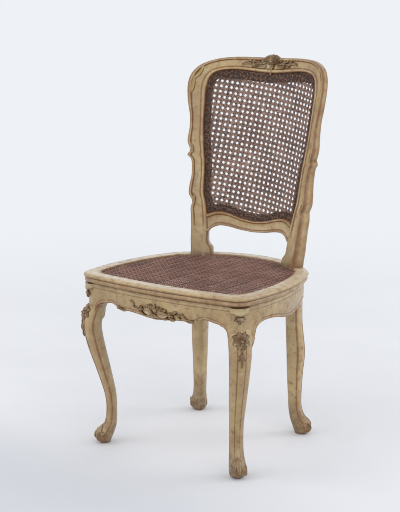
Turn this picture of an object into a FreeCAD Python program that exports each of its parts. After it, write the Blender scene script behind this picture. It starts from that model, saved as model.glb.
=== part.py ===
import FreeCAD, Part
import math
import os
from FreeCAD import Vector

# Caned side chair with cabriole legs, a bowed back and a moulded, caned seat frame.
# Millimetres, +Z up, the sitter faces -Y, and the origin is on the floor in the middle of the chair.

# Overall sizes
overall_height = 988.0
seat_height = 455.0

# Plan of the seat: four arcs with rounded corners
seat_half_front = 246.0
seat_half_rear = 214.0
seat_side_bow = 30.0
seat_front_reach = 234.0
seat_front_bow = 22.0
seat_rear_reach = 118.0
seat_rear_bow = 101.0
front_corner_radius = 40.0
rear_corner_radius = 70.0
least_corner_radius = 6.0

# Moulded seat frame and its cane
rim_thickness = 26.0
rim_width = 36.0
upper_bead = 14.0
bead_round = 4.5
lower_bead_inset = 4.0
seat_ledge_width = 15.0
seat_cane_depth = 6.0
cane_thickness = 1.6
seat_dowel_diameter = 8.0
seat_dowel_length = 40.0
notch_clearance = 0.4

# Seat rails under the frame
apron_inset = 12.0
apron_thickness = 26.0
apron_depth = 58.0
rear_apron_depth = 42.0
tenon_thickness = 10.0
tenon_length = 20.0
tenon_height = 30.0
tenon_drop = 7.0
rear_tenon_start = 7.0
rear_tenon_reach = 26.0
rear_tenon_offset = 12.0
peg_diameter = 6.0

# Legs: places of the feet from the seat's front corners and from the uprights,
# thickness along and across the outward diagonal
front_foot_inset = 36.0
front_foot_setback = 41.5
rear_foot_spread = 24.0
rear_foot_setback = 22.3
leg_reach = 52.0
leg_width = 55.0
leg_stile = 46.0
scroll_radius = 13.0
scroll_overhang = 1.5

# Back: bowed with one radius in plan and raked
back_radius = 310.0
back_half = 208.0
back_seat_y = 163.0
post_thickness = 38.0
crest_thickness = 17.0
stay_thickness = 24.0
back_hollow_depth = 2.5
back_ledge_width = 22.0
back_ledge_thickness = 9.0
back_cane_depth = 5.0
post_root = 70.0
crest_tenon_length = 26.0
crest_tenon_width = 18.0
stay_tenon_length = 18.0
stay_tenon_height = 18.0
back_peg_diameter = 5.0
back_rake_share = 0.198
crest_joint_share = 0.78

# Woven panels, drawn as nets with one square hole per group of strands
back_net_pitch = 26.0
seat_net_pitch = 29.0
net_hole_share = 0.6

# Corner blocks and their screws
block_reach = 66.0
block_height = 34.0
rear_block_length = 46.0
screw_diameter = 4.0
screw_head_diameter = 8.0
screw_head_height = 2.5
screw_bite = 9.0
screw_from_stile = 16.0

# One overrun serves every cut
overrun = 5.0

# Frame of the back, from the seat to the crest: outer x, outer z, inner x, inner z,
# as shares of the half width of the back and of its height above the seat.
# The outer edge breaks at two notches, so it is kept in three runs.
lower_frame_shares = [
    (0.77, 0.00, 0.530, 0.00),
    (0.78, 0.04, 0.535, 0.03),
    (0.79, 0.07, 0.560, 0.07),
    (0.80, 0.13, 0.595, 0.13),
    (0.82, 0.20, 0.635, 0.205),
    (0.83, 0.23, 0.655, 0.24),
    (0.815, 0.265, 0.675, 0.27),
]
middle_frame_shares = [
    (0.815, 0.265, 0.675, 0.27),
    (0.865, 0.30, 0.695, 0.30),
    (0.87, 0.34, 0.705, 0.34),
    (0.86, 0.40, 0.715, 0.40),
    (0.88, 0.47, 0.73, 0.47),
    (0.925, 0.495, 0.74, 0.495),
    (0.895, 0.515, 0.75, 0.515),
]
upper_frame_shares = [
    (0.895, 0.515, 0.75, 0.515),
    (0.94, 0.565, 0.765, 0.565),
    (0.935, 0.63, 0.785, 0.63),
    (0.945, 0.69, 0.795, 0.69),
    (0.98, 0.76, 0.80, 0.76),
    (1.00, 0.835, 0.805, 0.82),
    (0.985, 0.89, 0.785, 0.872),
    (0.93, 0.93, 0.74, 0.900),
    (0.84, 0.956, 0.68, 0.912),
    (0.69, 0.975, 0.59, 0.918),
    (0.49, 0.983, 0.46, 0.919),
    (0.29, 0.983, 0.32, 0.914),
    (0.14, 0.985, 0.16, 0.908),
    (0.00, 1.00, 0.00, 0.904),
]
stay_shares = [
    (0.0, 0.18, 0.126), (0.19, 0.19, 0.132), (0.335, 0.207, 0.143),
    (0.45, 0.216, 0.149), (0.54, 0.214, 0.144), (0.66, 0.20, 0.125),
]
# Section of the frame: place across its face from the outer edge, depth in hollows, depth in thicknesses.
frame_section_shares = [
    (0.0, 0.0, 0.0), (0.20, 0.0, 0.0), (0.28, 1.0, 0.0), (0.68, 1.0, 0.0), (0.76, 0.0, 0.0), (1.0, 0.0, 0.0),
    (1.0, 0.0, 0.8), (0.85, 0.0, 1.0), (0.15, 0.0, 1.0), (0.0, 0.0, 0.8),
]
plain_rows = 2
taper_end_share = 0.7
stay_row = 4
panel_middle_share = 0.5
ledge_root_share = 0.9
tenon_low_share = 1 / 3
tenon_high_share = 2 / 3

# Legs from the floor up: height as a share of the height under the seat frame, outward and
# inward reach from the foot as shares of leg_reach, and width as a share of leg_width.
front_leg_shares = [
    (0.00, 0.23, -0.29, 0.47),
    (0.02, 0.39, -0.35, 0.73),
    (0.045, 0.47, -0.44, 0.78),
    (0.08, 0.38, -0.55, 0.76),
    (0.125, 0.00, -0.63, 0.67),
    (0.21, -0.11, -0.65, 0.64),
    (0.31, -0.03, -0.62, 0.67),
    (0.46, 0.35, -0.38, 0.80),
    (0.605, 0.75, -0.12, 0.91),
    (0.72, 0.96, 0.04, 1.00),
    (0.80, 0.90, -0.06, 1.04),
    (0.90, 0.52, -0.38, 1.12),
]
rear_leg_shares = [
    (0.00, 0.33, -0.29, 0.51),
    (0.02, 0.44, -0.35, 0.76),
    (0.045, 0.52, -0.42, 0.85),
    (0.075, 0.50, -0.51, 0.82),
    (0.12, 0.18, -0.61, 0.69),
    (0.175, 0.02, -0.67, 0.66),
    (0.24, -0.01, -0.70, 0.68),
    (0.39, 0.05, -0.77, 0.76),
    (0.53, 0.14, -0.81, 0.84),
    (0.70, -0.01, -0.87, 0.87),
    (0.83, -0.04, -0.88, 0.87),
    (1.00, -0.04, -0.88, 0.87),
]
scroll_height_share = 0.048
scroll_reach_share = 0.20
stile_foot_share = 0.88

# Ears of a front leg, under the ends of the rails: place along the stile and depth.
ear_shares = [(0.0, 1.08), (0.10, 1.19), (0.22, 1.36), (0.30, 1.52), (0.36, 1.70)]

# Lower edges of the rails: place along the rail and depth, as shares of its length and of apron_depth.
front_apron_shares = [
    (0.0, 1.0), (0.16, 0.96), (0.31, 0.90), (0.44, 0.87), (0.54, 0.90), (0.615, 0.89),
    (0.68, 0.77), (0.755, 0.68), (0.83, 0.70), (0.91, 0.75), (0.96, 0.87), (1.0, 1.08),
]
side_apron_shares = [
    (0.0, 1.08), (0.085, 0.98), (0.18, 0.84), (0.265, 0.81), (0.355, 0.87), (0.495, 0.98),
    (0.60, 1.01), (0.73, 0.94), (0.85, 0.81), (1.0, 0.73), (1.2, 0.68),
]

back_height = overall_height - seat_height
seat_half_middle = (seat_half_front + seat_half_rear) / 2 + seat_side_bow
rim_low = seat_height - rim_thickness
stile_x = seat_half_front - apron_inset - leg_stile
stile_y = seat_front_reach - apron_inset - leg_stile
apron_inner = apron_inset + apron_thickness
cane_inset = rim_width + seat_ledge_width
post_inner = back_half * lower_frame_shares[0][2]
post_outer = back_half * lower_frame_shares[0][0]
crest_joint = seat_height + back_height * crest_joint_share
tenon_top = rim_low - tenon_drop
tenon_low = tenon_top - tenon_height


def back_y(x, z, depth):
    """Y of the bowed, raked back at a place on its face and a depth behind that face."""
    centre = back_seat_y + back_rake_share * (z - seat_height) - back_radius
    return centre + math.sqrt((back_radius + depth) ** 2 - x ** 2)


def behind(place, depth):
    """Point square behind a place on the bowed face of the back."""
    centre = back_seat_y + back_rake_share * (place.z - seat_height) - back_radius
    face = Vector(place.x, back_y(place.x, place.z, 0), place.z)
    square = Vector(face.x, face.y - centre, 0)
    square.normalize()
    return face + square * depth


def thickness_at(z):
    """Thickness of the frame, which tapers from the seat towards the crest."""
    share = (z - seat_height) / (overall_height - seat_height) / taper_end_share
    return post_thickness + (crest_thickness - post_thickness) * min(max(share, 0), 1)


def mirrored(shape):
    return shape.mirror(Vector(0, 0, 0), Vector(1, 0, 0))


def spline(points):
    curve = Part.BSplineCurve()
    curve.interpolate(points)
    return curve.toShape()


def box(x0, x1, y0, y1, z0, z1):
    return Part.makeBox(x1 - x0, y1 - y0, z1 - z0, Vector(x0, y0, z0))


def plan_prism(points, low, high):
    """Upright prism on a plan polygon."""
    corners = [Vector(x, y, low) for x, y in points]
    wire = Part.makePolygon(corners + corners[:1])
    return Part.Face(wire).extrude(Vector(0, 0, high - low))


def is_upright(edge):
    run = edge.Vertexes[-1].Point - edge.Vertexes[0].Point
    return abs(run.z) > 0 and run.x == 0 and run.y == 0


def seat_circles():
    """Centre and radius of the front, right and rear edges of the seat's plan."""
    front = Vector(seat_half_front, -seat_front_reach, 0)
    rear = Vector(seat_half_rear, seat_rear_reach, 0)
    middle = Vector(seat_half_middle, (seat_rear_reach - seat_front_reach) / 2, 0)
    left_front = Vector(-front.x, front.y, 0)
    left_rear = Vector(-rear.x, rear.y, 0)
    circles = [
        Part.Circle(left_front, Vector(0, front.y - seat_front_bow, 0), front),
        Part.Circle(front, middle, rear),
        Part.Circle(rear, Vector(0, rear.y + seat_rear_bow, 0), left_rear),
    ]
    return [(circle.Center, circle.Radius) for circle in circles]


def meeting(first, second, near):
    """Meeting point of two circles that lies nearest to a point."""
    along = second[0] - first[0]
    apart = along.Length
    along.normalize()
    run = (first[1] ** 2 - second[1] ** 2 + apart ** 2) / (2 * apart)
    off = math.sqrt(first[1] ** 2 - run ** 2)
    aside = Vector(-along.y, along.x, 0)
    foot = first[0] + along * run
    return min([foot + aside * off, foot - aside * off], key=lambda point: (point - near).Length)


def seat_prism(inset, low, high):
    """Upright prism on the seat's plan, drawn in by an inset all round."""
    front, side, rear = [(centre, radius - inset) for centre, radius in seat_circles()]
    corner = [
        meeting(front, side, Vector(seat_half_front, -seat_front_reach, 0)),
        meeting(side, rear, Vector(seat_half_rear, seat_rear_reach, 0)),
    ]
    middle = Vector(seat_half_middle, (seat_rear_reach - seat_front_reach) / 2, 0) - side[0]
    middle.normalize()
    crown = [
        front[0] - Vector(0, front[1], 0), side[0] + middle * side[1], rear[0] + Vector(0, rear[1], 0),
    ]
    turn = [flipped(corner[:1])[0], corner[0], corner[1], flipped(corner[1:])[0]]
    crown.append(flipped(crown[1:2])[0])
    lift = Vector(0, 0, low)
    edges = [Part.Arc(turn[i] + lift, crown[i] + lift, turn[(i + 1) % 4] + lift).toShape() for i in range(4)]
    solid = Part.Face(Part.Wire(edges)).extrude(Vector(0, 0, high - low))
    for corner_radius, side in ((front_corner_radius, -1), (rear_corner_radius, 1)):
        sharp = [e for e in solid.Edges if is_upright(e) and e.CenterOfMass.y * side > 0]
        solid = solid.makeFillet(max(corner_radius - inset, least_corner_radius), sharp)
    return solid


def seat_ring(outer, inner, low, high):
    return seat_prism(outer, low, high).cut(seat_prism(inner, low - overrun, high + overrun))


def rear_edge_y(x, inset):
    """Y of the rear edge of the seat's plan, drawn in by an inset."""
    centre, radius = seat_circles()[2]
    return centre.y + math.sqrt((radius - inset) ** 2 - x ** 2)


def front_edge_y(x, inset):
    centre, radius = seat_circles()[0]
    return centre.y - math.sqrt((radius - inset) ** 2 - x ** 2)


def post_centre():
    """Plan place of the middle of the right upright under the seat frame."""
    middle = behind(Vector((post_inner + post_outer) / 2, 0, rim_low), post_thickness / 2)
    return middle.x, middle.y


def post_prism(clearance, low, high, thickness=post_thickness):
    """Root of the right upright with a clearance all round."""
    wires = []
    for z in (low, high):
        outer = Vector(post_outer + clearance, 0, z)
        inner = Vector(post_inner - clearance, 0, z)
        depths = (-clearance, thickness + clearance)
        corners = [behind(outer, depths[0]), behind(inner, depths[0]),
                   behind(inner, depths[1]), behind(outer, depths[1])]
        wires.append(Part.makePolygon(corners + corners[:1]))
    return Part.makeLoft(wires, True, True)


def sector(side, low, high):
    """Prism that holds one of the four sides of the seat, parted on its corner joints."""
    run = seat_front_reach / 2
    x, y = post_centre()
    front_in = (seat_half_front - run, run - seat_front_reach)
    front_out = (seat_half_front + run, -seat_front_reach - run)
    rear_in = (x - run, y - run)
    rear_out = (x + run, y + run)

    def other(point):
        return -point[0], point[1]
    plans = {
        "front": [other(front_in), other(front_out), front_out, front_in],
        "right": [front_in, front_out, rear_out, rear_in],
        "back": [rear_in, rear_out, other(rear_out), other(rear_in)],
    }
    return plan_prism(plans[side], low, high)


def largest(shape):
    return max(shape.Solids, key=lambda solid: solid.Volume)


def back_slab(near, far):
    """Bowed, raked slab between two depths behind the face of the back."""
    low = seat_height - post_root - overrun
    rise = overall_height + overrun - low
    half = back_half + overrun
    corner = []
    for depth, sides in ((near, (-half, half)), (far, (half, -half))):
        corner += [Vector(x, back_y(x, low, depth), low) for x in sides]
    near_arc = Part.Arc(corner[0], Vector(0, back_y(0, low, near), low), corner[1]).toShape()
    far_arc = Part.Arc(corner[2], Vector(0, back_y(0, low, far), low), corner[3]).toShape()
    sides = [Part.makeLine(corner[1], corner[2]), Part.makeLine(corner[3], corner[0])]
    face = Part.Face(Part.Wire([near_arc, sides[0], far_arc, sides[1]]))
    return face.extrude(Vector(0, back_rake_share * rise, rise))


def seen_from_front(edges):
    """Solid that a front outline sweeps through the depth of the back."""
    face = Part.Face(Part.Wire(edges))
    return face.extrude(Vector(0, back_seat_y + back_height, 0))


def front_box(x0, x1, z0, z1):
    return box(x0, x1, 0, back_seat_y + back_height, z0, z1)


def on_back(x_share, z_share):
    return Vector(back_half * x_share, 0, seat_height + back_height * z_share)


def flipped(points):
    return [Vector(-p.x, p.y, p.z) for p in points]


frame_rows = lower_frame_shares + middle_frame_shares[1:] + upper_frame_shares[1:]
inner_points = [on_back(row[2], row[3]) for row in frame_rows]


def between(row, share):
    """Place on the face of the frame between its outer edge and its inner edge."""
    outer = on_back(row[0], row[1])
    inner = on_back(row[2], row[3])
    return outer + (inner - outer) * share


def loft(sections):
    return Part.makeLoft([Part.makePolygon(points + points[:1]) for points in sections], True, False)


def half_frame():
    """Right half of the back's frame above the seat: one moulded section carried up to the crest."""
    sections = []
    for i, row in enumerate(frame_rows):
        hollow = 0 if i < plain_rows else back_hollow_depth
        points = []
        for across, hollows, thicknesses in frame_section_shares:
            place = between(row, across)
            points.append(behind(place, hollow * hollows + thickness_at(place.z) * thicknesses))
        sections.append(points)
    return loft(sections)


def half_ledge():
    """Ledge inside the right half of the frame that carries the edge of the cane."""
    near = back_cane_depth + cane_thickness
    far = near + back_ledge_thickness
    clear = drawn_in(inner_points, back_ledge_width)
    sections = []
    for row, edge in list(zip(frame_rows, clear))[stay_row:]:
        root = between(row, ledge_root_share)
        sections.append([behind(root, near), behind(edge, near), behind(edge, far), behind(root, far)])
    return loft(sections)


def across_stay(low_share, lift, near, far, rows):
    """Bar that follows the stay rail: from a share of its height to a lift above its upper edge."""
    right = []
    for x, high, low in stay_shares[:rows]:
        top = on_back(x, high) + Vector(0, 0, lift)
        foot = on_back(x, low + (high - low) * low_share)
        right.append((top, foot))
    left = [(Vector(-t.x, 0, t.z), Vector(-f.x, 0, f.z)) for t, f in right[:0:-1]]
    return loft([
        [behind(top, near), behind(foot, near), behind(foot, far), behind(top, far)]
        for top, foot in left + right
    ])


def inside_frame(points):
    """Everything inside an edge on the face of the back."""
    left = flipped(points)
    edges = [spline(points), spline(left[::-1]), Part.makeLine(left[0], points[0])]
    return seen_from_front(edges)


def drawn_in(points, distance):
    """Inner edge of the frame moved towards the middle of the panel."""
    moved = []
    for i, point in enumerate(points):
        before = points[max(i - 1, 0)]
        after = points[i + 1] if i + 1 < len(points) else Vector(-before.x, 0, before.z)
        along = after - before
        along.normalize()
        moved.append(point + Vector(-along.z, 0, along.x) * distance)
    return moved


def leg(shares, foot_x, foot_y):
    """Cabriole leg whose four arrises lie on the outward diagonal and across it."""
    out = Vector(foot_x, foot_y, 0)
    out = Vector(math.copysign(1, out.x), math.copysign(1, out.y), 0)
    out.normalize()
    across = Vector(-out.y, out.x, 0)
    foot = Vector(foot_x, foot_y, 0)
    wires = []
    for height, outer, inner, width in shares:
        middle = foot + out * (leg_reach * (outer + inner) / 2) + Vector(0, 0, rim_low * height)
        along = out * (leg_reach * (outer - inner) / 2)
        aside = across * (leg_width * width / 2)
        corners = [middle + along, middle + aside, middle - along, middle - aside]
        wires.append(Part.makePolygon(corners + corners[:1]))
    body = Part.makeLoft(wires, True, False)
    length = leg_width * max(row[3] for row in shares[:4]) + scroll_overhang * 2
    start = foot + out * (leg_reach * scroll_reach_share) - across * (length / 2)
    start.z = rim_low * scroll_height_share
    scroll = Part.makeCylinder(scroll_radius, length, start, across)
    return body.fuse(scroll)


def front_tenon():
    middle = front_edge_y(stile_x, apron_inset + apron_thickness / 2)
    return box(stile_x - overrun, stile_x + tenon_length, middle - tenon_thickness / 2,
               middle + tenon_thickness / 2, tenon_low, tenon_top)


def side_tenon():
    middle = seat_half_front - apron_inset - apron_thickness / 2
    return box(middle - tenon_thickness / 2, middle + tenon_thickness / 2, -stile_y - tenon_length,
               -stile_y + overrun, tenon_low, tenon_top)


def rear_side_tenon():
    """Tenon of the side rail in the upright."""
    x, y = post_centre()
    start = x + rear_tenon_start
    middle = y - rear_tenon_offset
    return box(start, start + rear_tenon_reach, middle - tenon_thickness / 2,
               middle + tenon_thickness / 2, tenon_low, tenon_top)


def rear_tenon():
    """Tenon of the rear rail in the upright."""
    x, y = post_centre()
    start = x - rear_tenon_start
    middle = y + rear_tenon_offset
    return box(start - rear_tenon_reach, start, middle - tenon_thickness / 2,
               middle + tenon_thickness / 2, tenon_low, tenon_top)


def front_peg():
    """Peg from inside the stile through the front rail's tenon."""
    tenon = front_tenon().BoundBox
    at = Vector(stile_x + tenon_length / 2, -stile_y, tenon_low + tenon_height * tenon_high_share)
    length = -stile_y - tenon.YMin + peg_diameter / 2
    return Part.makeCylinder(peg_diameter / 2, length, at, Vector(0, -1, 0))


def side_peg():
    """Peg from inside the stile through the side rail's tenon."""
    tenon = side_tenon().BoundBox
    at = Vector(stile_x, -stile_y - tenon_length / 2, tenon_low + tenon_height * tenon_low_share)
    length = tenon.XMax - stile_x + peg_diameter / 2
    return Part.makeCylinder(peg_diameter / 2, length, at, Vector(1, 0, 0))


def crest_tenon():
    middle = back_half * (upper_frame_shares[4][0] + upper_frame_shares[4][2]) / 2
    swept = front_box(middle - crest_tenon_width / 2, middle + crest_tenon_width / 2,
                      crest_joint - overrun, crest_joint + crest_tenon_length)
    return swept.common(tenon_slab(thickness_at(crest_joint)))


def tenon_slab(thickness):
    """Middle third of a member of the back."""
    return back_slab(thickness * tenon_low_share, thickness * tenon_high_share)


def stay_end():
    """Middle of the right end of the stay rail, on the inner edge of the upright."""
    return (inner_points[stay_row - 1] + inner_points[stay_row]) / 2


def stay_tenon():
    middle = stay_end()
    swept = front_box(middle.x - stay_tenon_length / 2, middle.x + stay_tenon_length,
                      middle.z - stay_tenon_height / 2, middle.z + stay_tenon_height / 2)
    return swept.common(tenon_slab(stay_thickness))


def back_peg(x, z, tenoned):
    """Peg square through the tenon of a member of the back, from behind."""
    place = Vector(x, 0, z)
    near = behind(place, tenoned * tenon_low_share - back_peg_diameter / 2)
    far = behind(place, thickness_at(z))
    return Part.makeCylinder(back_peg_diameter / 2, (far - near).Length, near, far - near)


def crest_peg():
    middle = back_half * (upper_frame_shares[4][0] + upper_frame_shares[4][2]) / 2
    return back_peg(middle, crest_joint + crest_tenon_length / 2, thickness_at(crest_joint))


def stay_peg():
    middle = stay_end()
    return back_peg(middle.x + stay_tenon_length * tenon_high_share, middle.z, stay_thickness)


def block_low():
    return rim_low - block_height


def front_block():
    """Corner block behind a front leg, glued to both rails and to the leg."""
    x = seat_half_front - apron_inner
    y = apron_inner - seat_front_reach
    past = seat_front_bow
    plan = [(x + past, y - past), (x + past, y + block_reach), (x, y + block_reach),
            (x - block_reach, y), (x - block_reach, y - past)]
    solid = plan_prism(plan, block_low(), rim_low).common(seat_prism(apron_inner, block_low(), rim_low))
    return solid.cut(box(stile_x, seat_half_front, -seat_front_reach, -stile_y, block_low(), rim_low))


def rear_block():
    """Corner block between the upright and the rear rail."""
    x, y = post_centre()
    low = y - rear_block_length / 2
    solid = box(post_inner - rear_block_length, post_inner, low, y + rear_block_length, block_low(), rim_low)
    return solid.common(seat_prism(apron_inner, block_low(), rim_low))


def screw(x, y):
    """Countersunk screw up through a corner block into the seat frame."""
    head = Part.makeCone(screw_head_diameter / 2, screw_diameter / 2, screw_head_height, Vector(x, y, block_low()))
    shank = Part.makeCylinder(screw_diameter / 2, block_height + screw_bite, Vector(x, y, block_low()))
    return head.fuse(shank).removeSplitter()


def front_screw():
    return screw(seat_half_front - (apron_inner + cane_inset) / 2, screw_from_stile - stile_y)


def rear_screw():
    x = post_inner - rear_block_length / 2
    return screw(x, rear_edge_y(x, (apron_inner + cane_inset) / 2))


def dowel(x, y, along):
    along.normalize()
    z = rim_low + (rim_thickness - seat_cane_depth) / 2
    start = Vector(x, y, z) - along * (seat_dowel_length / 2)
    return Part.makeCylinder(seat_dowel_diameter / 2, seat_dowel_length, start, along)


def front_dowel():
    inset = rim_width * 2 / 3
    return dowel(seat_half_front - inset, inset - seat_front_reach, Vector(1, 1, 0))


def post_notches():
    """Room for both uprights in the seat frame and its cane."""
    notch = post_prism(notch_clearance, rim_low - overrun, seat_height + overrun)
    return [notch, mirrored(notch)]


def seat_frame():
    """Whole moulded frame of the seat, still in one ring, with the ledge that carries the cane."""
    upper_low = seat_height - upper_bead
    upper = seat_prism(0, upper_low, seat_height)
    upper = upper.makeFillet(bead_round, [e for e in upper.Edges if not is_upright(e)])
    lower = seat_prism(lower_bead_inset, rim_low, upper_low + bead_round)
    ring = upper.fuse(lower)
    ring = ring.cut(seat_prism(cane_inset, rim_low - overrun, seat_height + overrun))
    ring = ring.cut(seat_prism(rim_width, seat_height - seat_cane_depth, seat_height + overrun))
    return ring.cut(post_notches())


def seat_cane():
    """Flat net on the ledge of the seat frame, with diamond holes."""
    low = seat_height - seat_cane_depth
    panel = seat_prism(rim_width, low, low + cane_thickness)
    clear = seat_prism(cane_inset, low - overrun, low + overrun)
    half = seat_net_pitch * net_hole_share / math.sqrt(2)
    count = int(seat_half_front / seat_net_pitch * 2)
    step = seat_net_pitch / math.sqrt(2)
    holes = []
    for i in range(-count, count + 1):
        for j in range(-count, count + 1):
            if (i + j) % 2:
                continue
            x, y = i * step, j * step
            plan = [(x + half, y), (x, y + half), (x - half, y), (x, y - half)]
            if all(clear.isInside(Vector(px, py, low), 0, True) for px, py in plan):
                holes.append(plan_prism(plan, low - overrun, low + overrun))
    return largest(panel.cut(holes + post_notches())), len(holes)


def back_cane(panel, clear):
    """Bowed net on the ledge of the back's frame, with square holes."""
    half = back_net_pitch * net_hole_share / 2
    middle_y = (back_seat_y + back_height) / 2
    columns = int(back_half / back_net_pitch)
    rows = int(back_height / back_net_pitch)
    holes = []
    for i in range(-columns, columns + 1):
        for j in range(rows):
            x = i * back_net_pitch
            z = seat_height + j * back_net_pitch
            ends = [(x + a, z + b) for a in (-half, half) for b in (-half, half)]
            if all(clear.isInside(Vector(px, middle_y, pz), 0, True) for px, pz in ends):
                holes.append(front_box(x - half, x + half, z - half, z + half))
    return panel.cut(holes), len(holes)


def back_parts():
    """Right upright above the seat, crest rail, stay rail and woven panel."""
    whole = half_frame().fuse(half_ledge())
    top = front_box(-back_half * 2, back_half * 2, crest_joint, overall_height + overrun)
    post = whole.cut(top)
    half_crest = whole.common(top).cut(crest_tenon().fuse(crest_peg()))
    crest = half_crest.fuse(mirrored(half_crest)).removeSplitter()

    near = back_cane_depth + cane_thickness
    stay = across_stay(0, 0, 0, stay_thickness, len(stay_shares))
    ledge = across_stay(ledge_root_share, back_ledge_width, near, near + back_ledge_thickness, len(stay_shares) - 1)
    stay = largest(stay.fuse(ledge).cut([post, mirrored(post)]))

    outline = [between(row, panel_middle_share) for row in frame_rows[stay_row - 1:]]
    panel = inside_frame(outline).common(back_slab(back_cane_depth, near))
    panel = largest(panel.cut([whole, mirrored(whole), stay]))
    clear = inside_frame(drawn_in(inner_points, back_ledge_width)[stay_row:])
    cane, count = back_cane(panel, clear)

    tenon = stay_tenon()
    stay = stay.fuse([tenon, mirrored(tenon)]).removeSplitter()
    post = post.fuse([crest_tenon(), post_prism(0, seat_height - post_root, seat_height)]).removeSplitter()
    post = largest(post.cut([tenon, crest_peg(), stay_peg()]))
    stay = largest(stay.cut([stay_peg(), mirrored(stay_peg())]))
    return post, crest, stay, cane, count


def lower_edge(points, sweep, top):
    """Solid above the shaped lower edge of a rail."""
    edges = [spline(points)]
    end, start = points[-1], points[0]
    high_end = Vector(end.x, end.y, top)
    high_start = Vector(start.x, start.y, top)
    edges += [Part.makeLine(end, high_end), Part.makeLine(high_end, high_start)]
    edges += [Part.makeLine(high_start, start)]
    return Part.Face(Part.Wire(edges)).extrude(sweep)


def ears():
    """Two brackets of the front right leg that carry its curve out into the rails."""
    low = rim_low - apron_depth * ear_shares[-1][1] - overrun
    ring = seat_ring(apron_inset, apron_inner, low, rim_low * stile_foot_share)
    front_points = []
    side_points = []
    for along, depth in ear_shares:
        z = rim_low - apron_depth * depth
        front_points.append(Vector(stile_x + leg_stile * along, -stile_y, z))
        side_points.append(Vector(stile_x, -stile_y - leg_stile * along, z))
    reach = seat_front_reach + seat_front_bow - stile_y
    front = lower_edge(front_points, Vector(0, -reach, 0), rim_low)
    side = lower_edge(side_points, Vector(seat_half_front - stile_x, 0, 0), rim_low)
    return [largest(ring.common(front)), largest(ring.common(side))]


def rails(upright):
    """Front, right and rear seat rails, fitted to the legs and uprights."""
    low = rim_low - apron_depth * side_apron_shares[0][1] - overrun
    ring = seat_ring(apron_inset, apron_inner, low, rim_low)
    right_points = [
        Vector(stile_x * x, -stile_y, rim_low - apron_depth * depth) for x, depth in front_apron_shares
    ]
    front_points = flipped(right_points[:0:-1]) + right_points
    sweep = Vector(0, stile_y - seat_front_reach - seat_front_bow, 0)
    front = ring.common(lower_edge(front_points, sweep, rim_low))
    front = front.fuse([front_tenon(), mirrored(front_tenon())])

    length = stile_y + seat_rear_reach
    side_points = [
        Vector(0, length * y - stile_y, rim_low - apron_depth * depth) for y, depth in side_apron_shares
    ]
    side = ring.common(lower_edge(side_points, Vector(seat_half_middle, 0, 0), rim_low))
    side = side.common(sector("right", low, rim_low))
    past_front = box(0, seat_half_front, -seat_front_reach, -stile_y, low, rim_low)
    shadow = post_prism(0, low, rim_low, post_thickness * 2)
    side = largest(side.cut([past_front, upright, shadow]))
    side = side.fuse([side_tenon(), rear_side_tenon().cut(side)])

    rear = ring.common(sector("back", rim_low - rear_apron_depth, rim_low))
    rear = largest(rear.cut([upright, mirrored(upright), shadow, mirrored(shadow)]))
    rear = rear.fuse([rear_tenon(), mirrored(rear_tenon())])
    return front.removeSplitter(), side.removeSplitter(), rear.removeSplitter()


def build():
    post, crest, stay, cane_of_back, back_holes = back_parts()
    post_x, post_y = post_centre()
    upright = leg(rear_leg_shares, post_x + rear_foot_spread, post_y + rear_foot_setback)
    upright = upright.fuse(post).removeSplitter()
    front_rail, side_rail, rear_rail = rails(upright)
    upright = upright.cut([rear_side_tenon(), rear_tenon()])

    stile = seat_prism(apron_inset, rim_low * stile_foot_share, rim_low)
    stile = stile.common(box(stile_x, seat_half_front, -seat_front_reach, -stile_y, 0, rim_low))
    foot_x = seat_half_front - front_foot_inset
    front_leg = leg(front_leg_shares, foot_x, front_foot_setback - seat_front_reach)
    front_leg = front_leg.fuse([stile] + ears()).removeSplitter()
    front_leg = front_leg.cut([front_tenon(), side_tenon(), front_peg(), side_peg()])
    front_rail = front_rail.cut([front_peg(), mirrored(front_peg())])
    side_rail = side_rail.cut(side_peg())

    frame = seat_frame()
    dowels = [front_dowel(), mirrored(front_dowel())]
    screws = [front_screw(), mirrored(front_screw()), rear_screw(), mirrored(rear_screw())]
    frame = frame.cut(dowels + screws)
    frame_front = frame.common(sector("front", rim_low, seat_height))
    frame_right = frame.common(sector("right", rim_low, seat_height))
    frame_back = frame.common(sector("back", rim_low, seat_height))
    cane_of_seat, seat_holes = seat_cane()
    print("holes in the back's net", back_holes, "and in the seat's net", seat_holes)

    front_corner = front_block().cut(front_screw())
    rear_corner = rear_block().cut([rear_screw(), upright])
    seat_pegs = [front_peg(), mirrored(front_peg()), side_peg(), mirrored(side_peg())]
    back_pegs = [crest_peg(), mirrored(crest_peg()), stay_peg(), mirrored(stay_peg())]
    return {
        "front_right_leg": front_leg,
        "front_left_leg": mirrored(front_leg),
        "rear_right_upright": upright,
        "rear_left_upright": mirrored(upright),
        "front_seat_rail": front_rail,
        "right_seat_rail": side_rail,
        "left_seat_rail": mirrored(side_rail),
        "rear_seat_rail": rear_rail,
        "seat_frame_front": frame_front,
        "seat_frame_right": frame_right,
        "seat_frame_left": mirrored(frame_right),
        "seat_frame_back": frame_back,
        "seat_cane": cane_of_seat,
        "crest_rail": crest,
        "stay_rail": stay,
        "back_cane": cane_of_back,
        "front_right_corner_block": front_corner,
        "front_left_corner_block": mirrored(front_corner),
        "rear_right_corner_block": rear_corner,
        "rear_left_corner_block": mirrored(rear_corner),
        "corner_block_screws": Part.Compound(screws),
        "seat_joint_pegs": Part.Compound(seat_pegs),
        "back_joint_pegs": Part.Compound(back_pegs),
        "seat_frame_dowels": Part.Compound(dowels),
    }


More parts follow.
